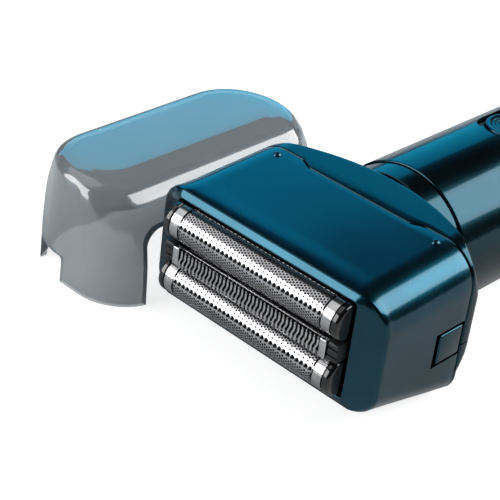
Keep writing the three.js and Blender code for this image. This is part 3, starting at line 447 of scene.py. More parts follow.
def grain_group():
    """Fine grain with a slow drift: a height for bump, and a mask from 0 to 1."""
    graph, start, end = shader_group(
        "fine_grain",
        [("Vector", "NodeSocketVector", None), ("Grain Size", "NodeSocketFloat", 0.15),
         ("Drift Size", "NodeSocketFloat", 12.0)],
        [("Height", "NodeSocketFloat"), ("Mask", "NodeSocketFloat")],
    )
    scale = graph.math("DIVIDE", 1000.0, start.outputs["Grain Size"])
    drift = graph.math("DIVIDE", 1000.0, start.outputs["Drift Size"])
    fine = graph.noise(start.outputs["Vector"], scale, 2.0)
    slow = graph.noise(start.outputs["Vector"], drift, 3.0)
    mask = graph.spread(slow, 0.3, 0.7, 0.0, 1.0)
    graph.tree.links.new(fine, end.inputs["Height"])
    graph.tree.links.new(mask, end.inputs["Mask"])
    return graph.tree


def brushed_group():
    """Fine lines drawn along one axis, as rolling or brushing leaves them."""
    graph, start, end = shader_group(
        "brushed_lines",
        [("Vector", "NodeSocketVector", None), ("Line Width", "NodeSocketFloat", 0.05),
         ("Stretch", "NodeSocketVector", (0.03, 1.0, 1.0))],
        [("Height", "NodeSocketFloat"), ("Mask", "NodeSocketFloat")],
    )
    stretched = graph.scaled(start.outputs["Vector"], start.outputs["Stretch"])
    scale = graph.math("DIVIDE", 1000.0, start.outputs["Line Width"])
    lines = graph.noise(stretched, scale, 3.0)
    broad = graph.noise(stretched, graph.math("MULTIPLY", scale, 0.12), 2.0)
    both = graph.math("MULTIPLY", lines, broad)
    graph.tree.links.new(lines, end.inputs["Height"])
    graph.tree.links.new(graph.spread(both, 0.12, 0.4, 0.0, 1.0), end.inputs["Mask"])
    return graph.tree


def dust_group():
    """Scattered specks and smears: a mask that is near 0 over most of the surface."""
    graph, start, end = shader_group(
        "dust_and_smears",
        [("Vector", "NodeSocketVector", None), ("Speck Size", "NodeSocketFloat", 0.4),
         ("Amount", "NodeSocketFloat", 0.3)],
        [("Mask", "NodeSocketFloat")],
    )
    scale = graph.math("DIVIDE", 1000.0, start.outputs["Speck Size"])
    cells = graph.add("ShaderNodeTexVoronoi", {"Vector": start.outputs["Vector"], "Scale": scale})
    specks = graph.spread(cells.outputs["Distance"], 0.05, 0.12, 1.0, 0.0)
    patches = graph.spread(graph.noise(start.outputs["Vector"], 90.0, 4.0), 0.48, 0.75, 0.0, 1.0)
    marks = graph.math("MULTIPLY", specks, patches)
    smears = graph.math("MULTIPLY", patches, 0.35)
    both = graph.math("MULTIPLY", graph.math("ADD", marks, smears), start.outputs["Amount"])
    graph.tree.links.new(both, end.inputs["Mask"])
    return graph.tree


GROUPS = {}


def group(graph, name, values):
    if name not in GROUPS:
        GROUPS[name] = {"fine_grain": grain_group, "brushed_lines": brushed_group,
                        "dust_and_smears": dust_group}[name]()
    return graph.add("ShaderNodeGroup", values, node_tree=GROUPS[name])


def grain_in(graph, place, size, drift):
    """Fine grain of that size with a drift of that size, in millimetres: height and mask."""
    node = group(graph, "fine_grain", {"Vector": place, "Grain Size": size, "Drift Size": drift})
    return node.outputs["Height"], node.outputs["Mask"]


def dust_in(graph, place, speck, amount):
    """Specks of that size, in millimetres, and smears: the mask."""
    values = {"Vector": place, "Speck Size": speck, "Amount": amount}
    return group(graph, "dust_and_smears", values).outputs["Mask"]


def roughness_in(graph, mask, low, high, dust):
    """Roughness from low to high over the mask, rougher where there is dust."""
    return graph.math("ADD", graph.spread(mask, 0, 1, low, high), dust)


def rgba(colour, factor=1.0):
    return tuple(min(c * factor, 1) for c in colour) + (1.0,)


def new_material(name):
    material = bpy.data.materials.new(name)
    material.use_nodes = True
    tree = material.node_tree
    tree.nodes.clear()
    graph = Graph(tree)
    shader = graph.add("ShaderNodeBsdfPrincipled")
    output = graph.add("ShaderNodeOutputMaterial")
    tree.links.new(shader.outputs[0], output.inputs["Surface"])
    place = graph.add("ShaderNodeTexCoord").outputs["Object"]
    return material, graph, shader, place


def put(graph, shader, **links):
    """Sets or links the shader's sockets; an underscore in a name stands for a space."""
    for key, value in links.items():
        socket = shader.inputs[key.replace("_", " ")]
        if isinstance(value, bpy.types.NodeSocket):
            graph.tree.links.new(value, socket)
        else:
            socket.default_value = value


def bump(graph, height, distance, strength=1.0):
    return graph.add(
        "ShaderNodeBump", {"Height": height, "Distance": distance * MM, "Strength": strength}
    ).outputs["Normal"]


def metallic_paint(name, colour, roughness, coat, coat_roughness, flake=0.06, drift=0.2):
    """Metallic paint: fine flake under a clear coat, with a slow drift of shade and a little dust."""
    material, graph, shader, place = new_material(name)
    height, mask = grain_in(graph, place, 0.09, 14.0)
    dust = dust_in(graph, place, 0.8, 0.05)
    sparkle = graph.spread(height, 0.35, 0.65, 1 - flake, 1 + flake)
    drifted = graph.mix(mask, rgba(colour, 1 - drift), rgba(colour, 1 + drift))
    toned = graph.scaled(drifted, sparkle)
    rough = roughness_in(graph, mask, roughness - 0.02, roughness + 0.03, dust)
    put(graph, shader, Base_Color=toned, Metallic=1.0, Roughness=rough,
        Normal=bump(graph, height, 0.002, 0.25),
        Coat_Weight=coat, Coat_Roughness=coat_roughness, Coat_IOR=1.5)
    return material


def polished_steel(name, colour, roughness, line_width, stretch):
    """Bright steel with the fine lines that rolling or grinding leaves, darker between them."""
    material, graph, shader, place = new_material(name)
    lines = group(graph, "brushed_lines", {
        "Vector": place, "Line Width": line_width, "Stretch": stretch})
    dust = dust_in(graph, place, 0.5, 0.15)
    toned = graph.mix(lines.outputs["Mask"], rgba(colour, 0.75), rgba(colour, 1.0))
    rough = roughness_in(graph, lines.outputs["Mask"], roughness * 0.8, roughness * 1.25, dust)
    put(graph, shader, Base_Color=toned, Metallic=1.0, Roughness=rough,
        Normal=bump(graph, lines.outputs["Height"], 0.003, 0.3))
    return material


def moulded_plastic(name, colour, roughness, grain_size=0.18, depth=0.006, coat=0.0):
    """Moulded plastic or rubber: a fine grain, a slow drift of shade and pale dust."""
    material, graph, shader, place = new_material(name)
    height, mask = grain_in(graph, place, grain_size, 6.0)
    dust = dust_in(graph, place, 0.5, 0.02)
    toned = graph.mix(mask, rgba(colour, 0.8), rgba(colour, 1.25))
    dusty = graph.mix(dust, toned, (0.25, 0.25, 0.25, 1.0))
    rough = roughness_in(graph, mask, roughness - 0.03, roughness + 0.05, dust)
    put(graph, shader, Base_Color=dusty, Roughness=rough, Normal=bump(graph, height, depth, 0.6),
        Coat_Weight=coat, Coat_Roughness=0.05)
    return material


def smoked_clear(name, colour):
    """Clear smoked plastic with a faint ripple from moulding and a few specks and smears."""
    material, graph, shader, place = new_material(name)
    height, mask = grain_in(graph, place, 9.0, 16.0)
    dust = dust_in(graph, place, 0.6, 0.06)
    toned = graph.mix(mask, rgba(colour, 0.97), rgba(colour, 1.03))
    rough = roughness_in(graph, mask, 0.02, 0.05, dust)
    put(graph, shader, Base_Color=toned, Roughness=rough, Metallic=0.0, Transmission_Weight=0.6,
        IOR=1.46, Normal=bump(graph, height, 0.03, 0.2), Coat_Weight=1.0, Coat_Roughness=0.03,
        Coat_IOR=1.6)
    return material


def printed_board(name, colour):
    """Solder mask with fine copper tracks showing through."""
    material, graph, shader, place = new_material(name)
    tracks = graph.add(
        "ShaderNodeTexBrick", {"Vector": place, "Scale": 220.0, "Mortar Size": 0.02}).outputs["Fac"]
    mask = grain_in(graph, place, 0.2, 4.0)[1]
    toned = graph.mix(tracks, rgba(colour), rgba(colour, 2.2))
    put(graph, shader, Base_Color=toned, Roughness=graph.spread(mask, 0, 1, 0.3, 0.5),
        Normal=bump(graph, tracks, 0.03, 0.6))
    return material


MATERIALS = {}


def finish_of(slot):
    """The material for one of the record's slots, made once."""
    if slot in MATERIALS:
        return MATERIALS[slot]
    colours = bpy.context.scene.shaver_colours
    makers = {
        "satin_blue": lambda: metallic_paint(
            "satin_blue_paint", colours.satin_blue, roughness=0.25, coat=0.6, coat_roughness=0.12),
        "gloss_blue": lambda: metallic_paint(
            "gloss_blue_lacquer", colours.gloss_blue, roughness=0.2, coat=0.35, coat_roughness=0.03,
            flake=0.03, drift=0.1),
        "foil_steel": lambda: polished_steel(
            "foil_steel", colours.steel, roughness=0.16, line_width=0.05, stretch=(0.05, 1.0, 1.0)),
        "comb_steel": lambda: polished_steel(
            "comb_steel", (0.82, 0.82, 0.83), roughness=0.14, line_width=0.05,
            stretch=(0.05, 1.0, 1.0)),
        "spring_steel": lambda: polished_steel(
            "spring_steel", (0.42, 0.43, 0.45), roughness=0.28, line_width=0.08,
            stretch=(1.0, 0.2, 1.0)),
        # Painted shade: the inner cutters and the trimmer blade get steel painted nearly black, not
        # bright steel, so that the foil holes and the gaps in the comb look dark.
        "cutter_steel_painted_shade": lambda: polished_steel(
            "cutter_steel_painted_shade", (0.035, 0.035, 0.037), roughness=0.35, line_width=0.06,
            stretch=(0.1, 1.0, 1.0)),
        "black_plastic": lambda: moulded_plastic(
            "black_plastic", colours.black_plastic, roughness=0.32),
        "gloss_black": lambda: moulded_plastic(
            "gloss_black_plastic", (0.004, 0.004, 0.005), roughness=0.12, grain_size=0.3,
            depth=0.001, coat=0.6),
        "dark_grey": lambda: moulded_plastic(
            "dark_grey_plastic", colours.dark_grey, roughness=0.42, grain_size=0.16, depth=0.01),
        "seal_rubber": lambda: moulded_plastic(
            "seal_rubber", (0.012, 0.012, 0.013), roughness=0.75, grain_size=0.12, depth=0.012),
        "cell_wrap": lambda: moulded_plastic(
            "cell_wrap", (0.03, 0.16, 0.09), roughness=0.3, grain_size=0.5, depth=0.004, coat=0.4),
        "board_green": lambda: printed_board("board_green", (0.01, 0.09, 0.035)),
        "window_plastic": lambda: moulded_plastic(
            "window_plastic", (0.35, 0.47, 0.52), roughness=0.18, grain_size=0.3, depth=0.002,
            coat=0.5),
        "smoke_clear": lambda: smoked_clear("smoked_clear_plastic", colours.smoke),
    }
    MATERIALS[slot] = makers[slot]()
    return MATERIALS[slot]


# ---- geometry node trees -----------------------------------------------------
def geometry_tree(name, inputs):
    tree = bpy.data.node_groups.new(name, "GeometryNodeTree")
    tree.interface.new_socket("Geometry", in_out="INPUT", socket_type="NodeSocketGeometry")
    for label, kind, default in inputs:
        socket = tree.interface.new_socket(label, in_out="INPUT", socket_type=kind)
        if default is not None:
            socket.default_value = default
    tree.interface.new_socket("Geometry", in_out="OUTPUT", socket_type="NodeSocketGeometry")
    graph = Graph(tree)
    start = tree.nodes.new("NodeGroupInput")
    end = tree.nodes.new("NodeGroupOutput")
    return graph, start, end


def end_tree(graph, geometry, material, end):
    """Every tree closes with Realize Instances and Set Material."""
    real = graph.add("GeometryNodeRealizeInstances", {"Geometry": geometry})
    painted = graph.add("GeometryNodeSetMaterial", {"Geometry": real.outputs[0], "Material": material})
    graph.tree.links.new(painted.outputs[0], end.inputs["Geometry"])


def run_tree(obj, tree, values):
    """Puts the tree on the object, sets its inputs by identifier and keeps the result."""
    modifier = obj.modifiers.new(tree.name, "NODES")
    modifier.node_group = tree
    for item in tree.interface.items_tree:
        if item.item_type == "SOCKET" and item.in_out == "INPUT" and item.name in values:
            modifier[item.identifier] = values[item.name]
    return bake(obj)


def arch_tree():
    """Copies a flat tile over a staggered grid and bends the sheet over a foil's arch.
    The sheet lies in X and Y, with Y the distance along the arch from its crest."""
    graph, start, end = geometry_tree("perforated_arch", [
        ("Columns", "NodeSocketInt", 10), ("Rows", "NodeSocketInt", 5),
        ("Column Spacing", "NodeSocketFloat", 0.6), ("Row Spacing", "NodeSocketFloat", 0.69),
        ("First Column", "NodeSocketFloat", 0.0), ("First Row", "NodeSocketFloat", 0.0),
        ("Stagger", "NodeSocketFloat", 0.0),
        ("Arch Radius", "NodeSocketFloat", 3.95), ("Arch Centre Y", "NodeSocketFloat", 0.0),
        ("Arch Centre Z", "NodeSocketFloat", 0.0), ("Material", "NodeSocketMaterial", None),
    ])
    given = start.outputs
    columns = graph.math("SUBTRACT", given["Columns"], 1.0)
    rows = graph.math("SUBTRACT", given["Rows"], 1.0)
    width = graph.math("MULTIPLY", columns, given["Column Spacing"])
    depth = graph.math("MULTIPLY", rows, given["Row Spacing"])
    grid = graph.add("GeometryNodeMeshGrid", {
        "Size X": width, "Size Y": depth, "Vertices X": given["Columns"], "Vertices Y": given["Rows"]})
    point = graph.add("ShaderNodeSeparateXYZ", {0: graph.add("GeometryNodeInputPosition").outputs[0]})
    from_left = graph.math("ADD", point.outputs[0], graph.math("MULTIPLY", width, 0.5))
    column = graph.math("ROUND", graph.math("DIVIDE", from_left, given["Column Spacing"]))
    odd = graph.math("MODULO", column, 2.0)
    x = graph.math("ADD", from_left, given["First Column"])
    up = graph.math("ADD", graph.math("ADD", point.outputs[1], graph.math("MULTIPLY", depth, 0.5)),
                    given["First Row"])
    s = graph.math("ADD", up, graph.math("MULTIPLY", odd, given["Stagger"]))
    flat = graph.add("ShaderNodeCombineXYZ", {0: x, 1: s, 2: 0.0})
    laid = graph.add("GeometryNodeSetPosition", {
        "Geometry": grid.outputs["Mesh"], "Position": flat.outputs[0]})
    copies = graph.add("GeometryNodeInstanceOnPoints", {
        "Points": laid.outputs[0], "Instance": given["Geometry"]})
    real = graph.add("GeometryNodeRealizeInstances", {"Geometry": copies.outputs[0]})
    merged = graph.add("GeometryNodeMergeByDistance", {
        "Geometry": real.outputs[0], "Distance": 0.01})
    place = graph.add("ShaderNodeSeparateXYZ", {0: graph.add("GeometryNodeInputPosition").outputs[0]})
    quarter = graph.math("MULTIPLY", given["Arch Radius"], math.pi / 2)
    along = graph.math("MAXIMUM", graph.math("MINIMUM", place.outputs[1], quarter),
                       graph.math("MULTIPLY", quarter, -1.0))
    leg = graph.math("SUBTRACT", graph.math("ABSOLUTE", place.outputs[1]),
                     graph.math("ABSOLUTE", along))
    angle = graph.math("DIVIDE", along, given["Arch Radius"])
    lifted = graph.math("ADD", given["Arch Radius"], place.outputs[2])
    y = graph.math("ADD", graph.math("SUBTRACT", given["Arch Centre Y"],
                                     graph.math("MULTIPLY", lifted, graph.math("COSINE", angle))), leg)
    z = graph.math("ADD", given["Arch Centre Z"],
                   graph.math("MULTIPLY", lifted, graph.math("SINE", angle)))
    bent = graph.add("ShaderNodeCombineXYZ", {0: place.outputs[0], 1: y, 2: z})
    arch = graph.add("GeometryNodeSetPosition", {
        "Geometry": merged.outputs[0], "Position": bent.outputs[0]})
    end_tree(graph, arch.outputs[0], given["Material"], end)
    return graph.tree


def row_tree():
    """Copies one shape along a straight row."""
    graph, start, end = geometry_tree("row_of_copies", [
        ("Count", "NodeSocketInt", 10), ("Start", "NodeSocketVector", (0, 0, 0)),
        ("Step", "NodeSocketVector", (1, 0, 0)), ("Material", "NodeSocketMaterial", None),
    ])
    given = start.outputs
    line = graph.add("GeometryNodeMeshLine", {
        "Count": given["Count"], "Start Location": given["Start"], "Offset": given["Step"]})
    copies = graph.add("GeometryNodeInstanceOnPoints", {
        "Points": line.outputs[0], "Instance": given["Geometry"]})
    end_tree(graph, copies.outputs[0], given["Material"], end)
    return graph.tree


TREES = {}


def tree_of(name):
    if name not in TREES:
        TREES[name] = {"arch": arch_tree, "row": row_tree}[name]()
    return TREES[name]


# ---- the head's outline ------------------------------------------------------
CORNER_STEPS = 14
LONG_STEPS = 84
END_STEPS = 10


def rounded_outline(half, low, high, low_radius, high_radius):
    """A rounded rectangle as (across, up, side), with side 1 on its two ends."""
    room = high - low
    fit = min(1, room / (low_radius + high_radius))
    corners = [(half, high, high_radius * fit), (-half, high, high_radius * fit),
               (-half, low, low_radius * fit), (half, low, low_radius * fit)]
    arcs = []
    for quarter, (x, up, radius) in enumerate(corners):
        centre_x = x - math.copysign(radius, x)
        centre_up = up - radius if quarter < 2 else up + radius
        arc = []
        for k in range(CORNER_STEPS + 1):
            angle = (quarter + k / CORNER_STEPS) * math.pi / 2
            arc.append((centre_x + radius * math.cos(angle), centre_up + radius * math.sin(angle),
                        abs(math.cos(angle))))
        arcs.append(arc)
    points = []
    for quarter, arc in enumerate(arcs):
        points += arc
        following = arcs[(quarter + 1) % 4][0]
        steps = (LONG_STEPS, END_STEPS)[quarter % 2]
        for k in range(1, steps):
            points.append(tuple(lerp(a, b, k / steps) for a, b in zip(arc[-1], following)))
    return points


def head_face(rim, base, y):
    return lerp(rim, base, y / FRAME_LENGTH)


def head_outline(y, inset, rear=None, front=None):
    rear = head_face(RIM_REAR, BASE_REAR, y) if rear is None else rear
    front = head_face(RIM_FRONT, BASE_FRONT, y) if front is None else front
    return rounded_outline(HEAD_HALF - inset, rear + inset, front - inset,
                           HEAD_CORNER_REAR - inset * 0.7, HEAD_CORNER_FRONT - inset * 0.7)


def parting_y(x):
    ramp = smoothstep(abs(x), PARTING_HALF, PARTING_HALF + PARTING_RAMP)
    return FRAME_LENGTH - PARTING_STEP * (1 - ramp)


def parting_ring(offset, inset):
    """The head's outline on the parting line, moved along Y by offset."""
    ring = []
    for x, z, _ in head_outline(FRAME_LENGTH, inset):
        y = parting_y(x) + offset
        face, base = (head_face(RIM_FRONT, BASE_FRONT, y), BASE_FRONT) if z > 0 else (
            head_face(RIM_REAR, BASE_REAR, y), BASE_REAR)
        ring.append((x, y, z * face / base))
    return ring


def fillet(ring, rise, radius, at):
    """Rings of a rounded edge, from the side wall in to the end face at one offset."""
    steps = 5
    rings = []
    for k in range(steps + 1):
        angle = k / steps * math.pi / 2
        rings.append(ring(at + rise * (1 - math.sin(angle)), radius * (1 - math.cos(angle))))
    return rings


def rear_edge(x, z):
    """Y of the head base's arched rear face."""
    draw = smoothstep(abs(z), BASE_DRAW_START, BASE_FRONT)
    curvature = lerp(1 / BASE_ARC_FULL, 1 / BASE_ARC_FACE, draw)
    return BASE_MID - curvature * x**2 / 2


# ---- operators ---------------------------------------------------------------
# Where the camera looks, from the middle of the rim, and how far away it stands.
TARGET_RIGHT, TARGET_UP, TARGET_RISE = -1.48, 10.2, 2.13
CAMERA_DISTANCE = 326.77
FLOOR_SIDES, FLOOR_RADIUS = 96, 3.0
LIGHT_AIM = 15
WHITE, PALE_BLUE = (1.0, 1.0, 1.0), (0.0, 0.62, 1.0)
# Each light: its name, the direction to it, the direction of its width, its distance,
# width and height in metres, the setting with its radiance, and its colour.
LIGHTS = (
    ("light_panel", (0.47, 0.65, 0.59), (0.45, 0.0, -0.36), 0.9, 0.54, 1.1, "panel", WHITE),
    ("light_blue_panel", (-0.66, 0.62, 0.36), (0.0, 0.4, 0.9), 0.9, 0.5, 0.9, "blue_panel", PALE_BLUE),
    ("light_overhead", (-0.5, -0.22, 0.8), (1.0, 0.0, 0.6), 1.0, 0.7, 0.75, "overhead", WHITE),
    ("light_front_panel", (-0.55, -0.75, 0.36), (1.0, -0.74, 0.0), 0.9, 0.7, 0.6, "front_panel", WHITE),
)


class SHAVER_OT_stage(bpy.types.Operator):
    """Make the camera, the floor and the studio light."""

    bl_idname = "shaver.stage"
    bl_label = "Camera, floor and light"

    def execute(self, context):
        setting = context.scene.shaver_stage
        self.camera(context, setting)
        self.floor()
        self.world(context)
        aim = Vector((AXIS_X, RIM_Y + LIGHT_AIM * MM, AXIS_Z))
        for name, direction, across, distance, width, height, radiance, colour in LIGHTS:
            self.panel(name, aim, direction, across, distance, width, height,
                       getattr(setting, radiance), colour)
        return {"FINISHED"}

    def camera(self, context, setting):
        a, e, r = setting.azimuth, setting.elevation, setting.roll
        back = Vector((math.sin(a) * math.cos(e), -math.cos(a) * math.cos(e), math.sin(e)))
        level = (-back).cross(Vector((0, 0, 1))).normalized()
        above = level.cross(-back)
        right = level * math.cos(r) + above * math.sin(r)
        up = above * math.cos(r) - level * math.sin(r)
        offset = right * TARGET_RIGHT + up * TARGET_UP + Vector((0, 0, TARGET_RISE))
        target = Vector((AXIS_X, RIM_Y, AXIS_Z)) + offset * MM
        data = bpy.data.cameras.new("camera")
        data.lens = setting.lens
        data.sensor_width = 36
        data.clip_start = 0.01
        data.clip_end = 20
        camera = bpy.data.objects.new("camera", data)
        place = Matrix((right, up, back)).transposed().to_4x4()
        place.translation = target + back * CAMERA_DISTANCE * MM
        camera.matrix_world = place
        context.scene.collection.objects.link(camera)
        context.scene.camera = camera
        context.scene.view_settings.view_transform = "Standard"
        context.scene.view_settings.look = "None"

    def floor(self):
        """Pale paper, which looks bright to the camera and throws less light than it shows."""
        turns = [2 * math.pi * k / FLOOR_SIDES for k in range(FLOOR_SIDES)]
        ring = [(FLOOR_RADIUS * math.cos(turn), FLOOR_RADIUS * math.sin(turn), 0) for turn in turns]
        mesh = bpy.data.meshes.new("floor")
        mesh.from_pydata(ring, [], [tuple(range(FLOOR_SIDES))])
        floor = bpy.data.objects.new("floor", mesh)
        bpy.context.scene.collection.objects.link(floor)
        material, graph, shader, place = new_material("floor_paper")
        mask = grain_in(graph, place, 0.5, 120.0)[1]
        toned = graph.mix(mask, (0.55, 0.55, 0.55, 1), (0.58, 0.58, 0.58, 1))
        path = graph.add("ShaderNodeLightPath").outputs
        seen = graph.math("MAXIMUM", path["Is Camera Ray"], path["Is Transmission Ray"])
        put(graph, shader, Base_Color=toned, Roughness=0.9, Specular_IOR_Level=0.0,
            Emission_Color=(1, 1, 1, 1), Emission_Strength=graph.spread(seen, 0.0, 1.0, 0.0, 0.8))
        mesh.materials.append(material)

    def world(self, context):
        world = bpy.data.worlds.new("studio")
        context.scene.world = world
        world.use_nodes = True
        tree = world.node_tree
        tree.nodes.clear()
        graph = Graph(tree)
        seen = graph.add("ShaderNodeLightPath").outputs["Is Camera Ray"]
        colour = graph.mix(seen, (0.03, 0.03, 0.03, 1), (0.95, 0.95, 0.95, 1))
        light = graph.add("ShaderNodeBackground", {"Color": colour, "Strength": 1.0})
        output = graph.add("ShaderNodeOutputWorld")
        tree.links.new(light.outputs[0], output.inputs["Surface"])

    def panel(self, name, aim, direction, across, distance, width, height, radiance, colour):
        """A rectangular light facing the aim, with its width along across."""
        toward = Vector(direction).normalized()
        side = Vector(across)
        side = (side - toward * side.dot(toward)).normalized()
        data = bpy.data.lights.new(name, "AREA")
        data.shape = "RECTANGLE"
        data.size = width
        data.size_y = height
        data.energy = radiance * math.pi * width * height
        data.color = colour
        light = bpy.data.objects.new(name, data)
        place = Matrix((side, toward.cross(side), toward)).transposed().to_4x4()
        place.translation = aim + toward * distance
        light.matrix_world = place
        bpy.context.scene.collection.objects.link(light)


class SHAVER_OT_foil_frame(bpy.types.Operator):
    """Make the removable foil frame: bevelled rim, wavy parting edge, side notches and studs."""

    bl_idname = "shaver.foil_frame"
    bl_label = "Foil frame"

    def execute(self, context):
        # y, half width, rear, front, rear corner, front corner, and y on the two ends
        stations = [
            (0.1, 24.93, -8.53, 15.03, 1.33, 1.33, 0.1),
            (0.62, 28.6, -9.6, 15.85, 3.6, 4.6, 1.3),
            (1.05, 30.5, -10.3, 16.25, 4.6, 6.5, 2.25),
            (1.8, 31.0, -10.7, 16.45, 5.0, 7.4, 3.1),
            (8.0, HEAD_HALF, head_face(RIM_REAR, BASE_REAR, 8), head_face(RIM_FRONT, BASE_FRONT, 8),
             HEAD_CORNER_REAR, HEAD_CORNER_FRONT, 8.0),
        ]
        rings = []
        for k in range(6):
            angle = math.radians(25 * k)
            rings.append(self.opening(0.3 - 0.3 * math.sin(angle), 0.24 - 0.24 * math.cos(angle)))
        for y, half, rear, front, rear_radius, front_radius, end_y in smooth_path(stations, 6):
            outline = rounded_outline(min(half, HEAD_HALF), rear, front, rear_radius, front_radius)
            rings.append([(x, lerp(y, end_y, side), z) for x, z, side in outline])
        for y in (13, 19, 24, 26.5):
            rings.append([(x, y, z) for x, z, _ in head_outline(y, 0)])
        rings += fillet(parting_ring, -0.25, 0.25, 0)
        rings += [parting_ring(0, WALL - 0.1), parting_ring(-0.15, WALL)]
        for y in (24, 16, 8, RIM_THICK + 0.4, RIM_THICK):
            rings.append([(x, y, z) for x, z, _ in head_outline(y, WALL)])
        rings.append(self.opening(RIM_THICK, 0.6))
        rings.append(self.opening(RIM_THICK, 0.0))
        shell = skin("foil_frame_shell", rings, loop=True)
        for side in (-1, 1):
            reach = sorted((side * (HEAD_HALF - WALL - 1), side * (HEAD_HALF + 1)))
            combine(shell, block("notch", (reach[0], NOTCH_START, NOTCH_REAR),
                                 (reach[1], FRAME_LENGTH + 2, NOTCH_FRONT)))
        studs = [self.stud(side) for side in (-1, 1)]
        settle(joined("foil_frame_body", [shell, *studs]), "foil_frame_painted", "foil_head",
               ["foil_frame"], "satin_blue", angle=40)
        return {"FINISHED"}

    def opening(self, y, reach):
        """The opening for the foils at y, widened by reach."""
        corner = OPENING_CORNER + reach
        outline = rounded_outline(
            OPENING_HALF + reach, OPENING_REAR - reach, OPENING_FRONT + reach, corner, corner)
        return [(x, y, z) for x, z, _ in outline]

    def stud(self, side):
        """A low domed stud that the cap snaps over."""
        centre_z, radius = BASE_FRONT - STUD_SINK, STUD_RADIUS
        profile = []
        for k in range(9):
            angle = math.radians(-30 + 15 * k)
            profile.append((max(radius * math.cos(angle), 0.02), centre_z + radius * math.sin(angle)))
        return turned("stud", profile, 24, (side * STUD_X, FRAME_LENGTH - STUD_FROM_EDGE), along="Z")


class SHAVER_OT_head_base(bpy.types.Operator):
    """Make the two halves of the head base and the neck ring behind them."""

    bl_idname = "shaver.head_base"
    bl_label = "Head base and neck"

    def execute(self, context):
        for name, node, low, high in (
            ("head_base_front_painted", "head_base_front", BASE_SEAM + GAP / 2, BASE_FRONT + 3),
            ("head_base_rear_painted", "head_base_rear", BASE_REAR - 3, BASE_SEAM - GAP / 2),
        ):
            half = combine(self.shell(), block("half", (-40, 20, low), (40, 50, high)), "INTERSECT")
            settle(half, name, "handle", [node], "gloss_blue", angle=40)
        self.neck(context.scene.shaver_sizes.turned_segments)
        return {"FINISHED"}

    def shell(self):
        outer = head_outline(FRAME_LENGTH, 0, BASE_REAR, BASE_FRONT)
        inner = head_outline(FRAME_LENGTH, WALL, BASE_REAR, BASE_FRONT)
        rings = [parting_ring(GAP, WALL), *fillet(parting_ring, 0.45, 0.45, GAP)[::-1]]
        # the skin runs back to its arched rear edge, then in across the rear face
        for share in (0.3, 0.6, 0.85, 0.95):
            rings.append([self.along(x, z, share) for x, z, _ in outer])
        for inset, drop in ((0.0, 0.45), (0.05, 0.2), (0.18, 0.05), (0.42, 0.0)):
            ring = []
            for x, z, _ in head_outline(FRAME_LENGTH, inset, BASE_REAR, BASE_FRONT):
                ring.append((x, self.edge(x, z) - drop, z))
            rings.append(ring)
        for share in (0.06, 0.14, 0.25, 0.4, 0.6, 0.8, 1.0):
            rings.append([self.inward(x, z, share, 0) for x, z, _ in outer])
        for share in (1.0, 0.6, 0.25, 0.0):
            rings.append([self.inward(x, z, share, WALL) for x, z, _ in inner])
        return skin("head_base", rings, loop=True)

    def edge(self, x, z):
        """The rear edge, drawn forward in a small corner where it meets the sides."""
        corner = 2.0
        past = max(abs(x) - (HEAD_HALF - corner), 0)
        return rear_edge(x, z) - (corner - math.sqrt(max(corner**2 - past**2, 0)))

    def along(self, x, z, share):
        start = parting_y(x) + GAP + 0.45
        return (x, lerp(start, self.edge(x, z) - 0.45, share), z)

    def inward(self, x, z, share, depth):
        """From the outline in to the throat, on the rear face or depth below it."""
        reach = math.hypot(x, z)
        to_x, to_z = x / reach * THROAT_RADIUS, z / reach * THROAT_RADIUS
        keep = 0.97 if depth == 0 else 1.0
        at_x, at_z = lerp(x * keep, to_x, share), lerp(z * keep, to_z, share)
        return (at_x, self.edge(at_x, at_z) - depth, at_z)

    def neck(self, segments):
        rings = []
        bore = THROAT_RADIUS
        for radius, front in (
            (bore, True), (NECK_RADIUS - 0.2, True), (NECK_RADIUS, True),
            (NECK_RADIUS, False), (NECK_RADIUS - 0.2, False), (bore, False),
        ):
            ring = []
            for k in range(segments):
                angle = 2 * math.pi * k / segments
                x, z = radius * math.cos(angle), radius * math.sin(angle)
                if front:
                    y = rear_edge(x, min(max(z, BASE_REAR), BASE_FRONT)) + GAP
                    y += 0.2 if radius == NECK_RADIUS else 0
                else:
                    y = SLEEVE_START - GAP - (0.2 if radius == NECK_RADIUS else 0)
                ring.append((x, y, z))
            rings.append(ring)
        ring = skin("neck", rings, loop=True)
        settle(ring, "neck_ring_painted", "handle", ["neck_ring"], "gloss_blue",
               angle=30, radial=NECK_RADIUS)


class SHAVER_OT_handle(bpy.types.Operator):
    """Make the handle's sleeve with its oval window."""

    bl_idname = "shaver.handle"
    bl_label = "Handle sleeve"

    def execute(self, context):
        round_, radius = 0.35, HANDLE_RADIUS
        profile = [(SLEEVE_BORE, SLEEVE_START)]
        for at, direction in ((SLEEVE_START, 1), (SLEEVE_END, -1)):
            arc = []
            for k in range(5):
                angle = math.radians(22.5 * k)
                arc.append((radius - round_ * (1 - math.sin(angle)),
                            at + direction * round_ * (1 - math.cos(angle))))
            profile += arc if direction > 0 else arc[::-1]
        profile.append((SLEEVE_BORE, SLEEVE_END))
        sleeve = turned("sleeve", profile, context.scene.shaver_sizes.turned_segments)
        outline = stadium(RECESS_HALF_WIDTH, RECESS_LENGTH, RECESS_START)
        window = extruded("window", outline, CUT_LOW, CUT_HIGH, "xyz")
        combine(sleeve, window)
        settle(sleeve, "body_sleeve_painted", "handle", ["body_sleeve"], "gloss_blue",
               angle=30, radial=HANDLE_RADIUS)
        return {"FINISHED"}


def stadium(half_width, length, start, steps=28):
    """Outline of an oval with straight sides, as (x, y) pairs."""
    points = []
    for centre, turn in ((start + length - half_width, 0), (start + half_width, math.pi)):
        for k in range(steps + 1):
            angle = turn + math.pi * k / steps
            points.append((half_width * math.cos(angle), centre + half_width * math.sin(angle)))
    return points


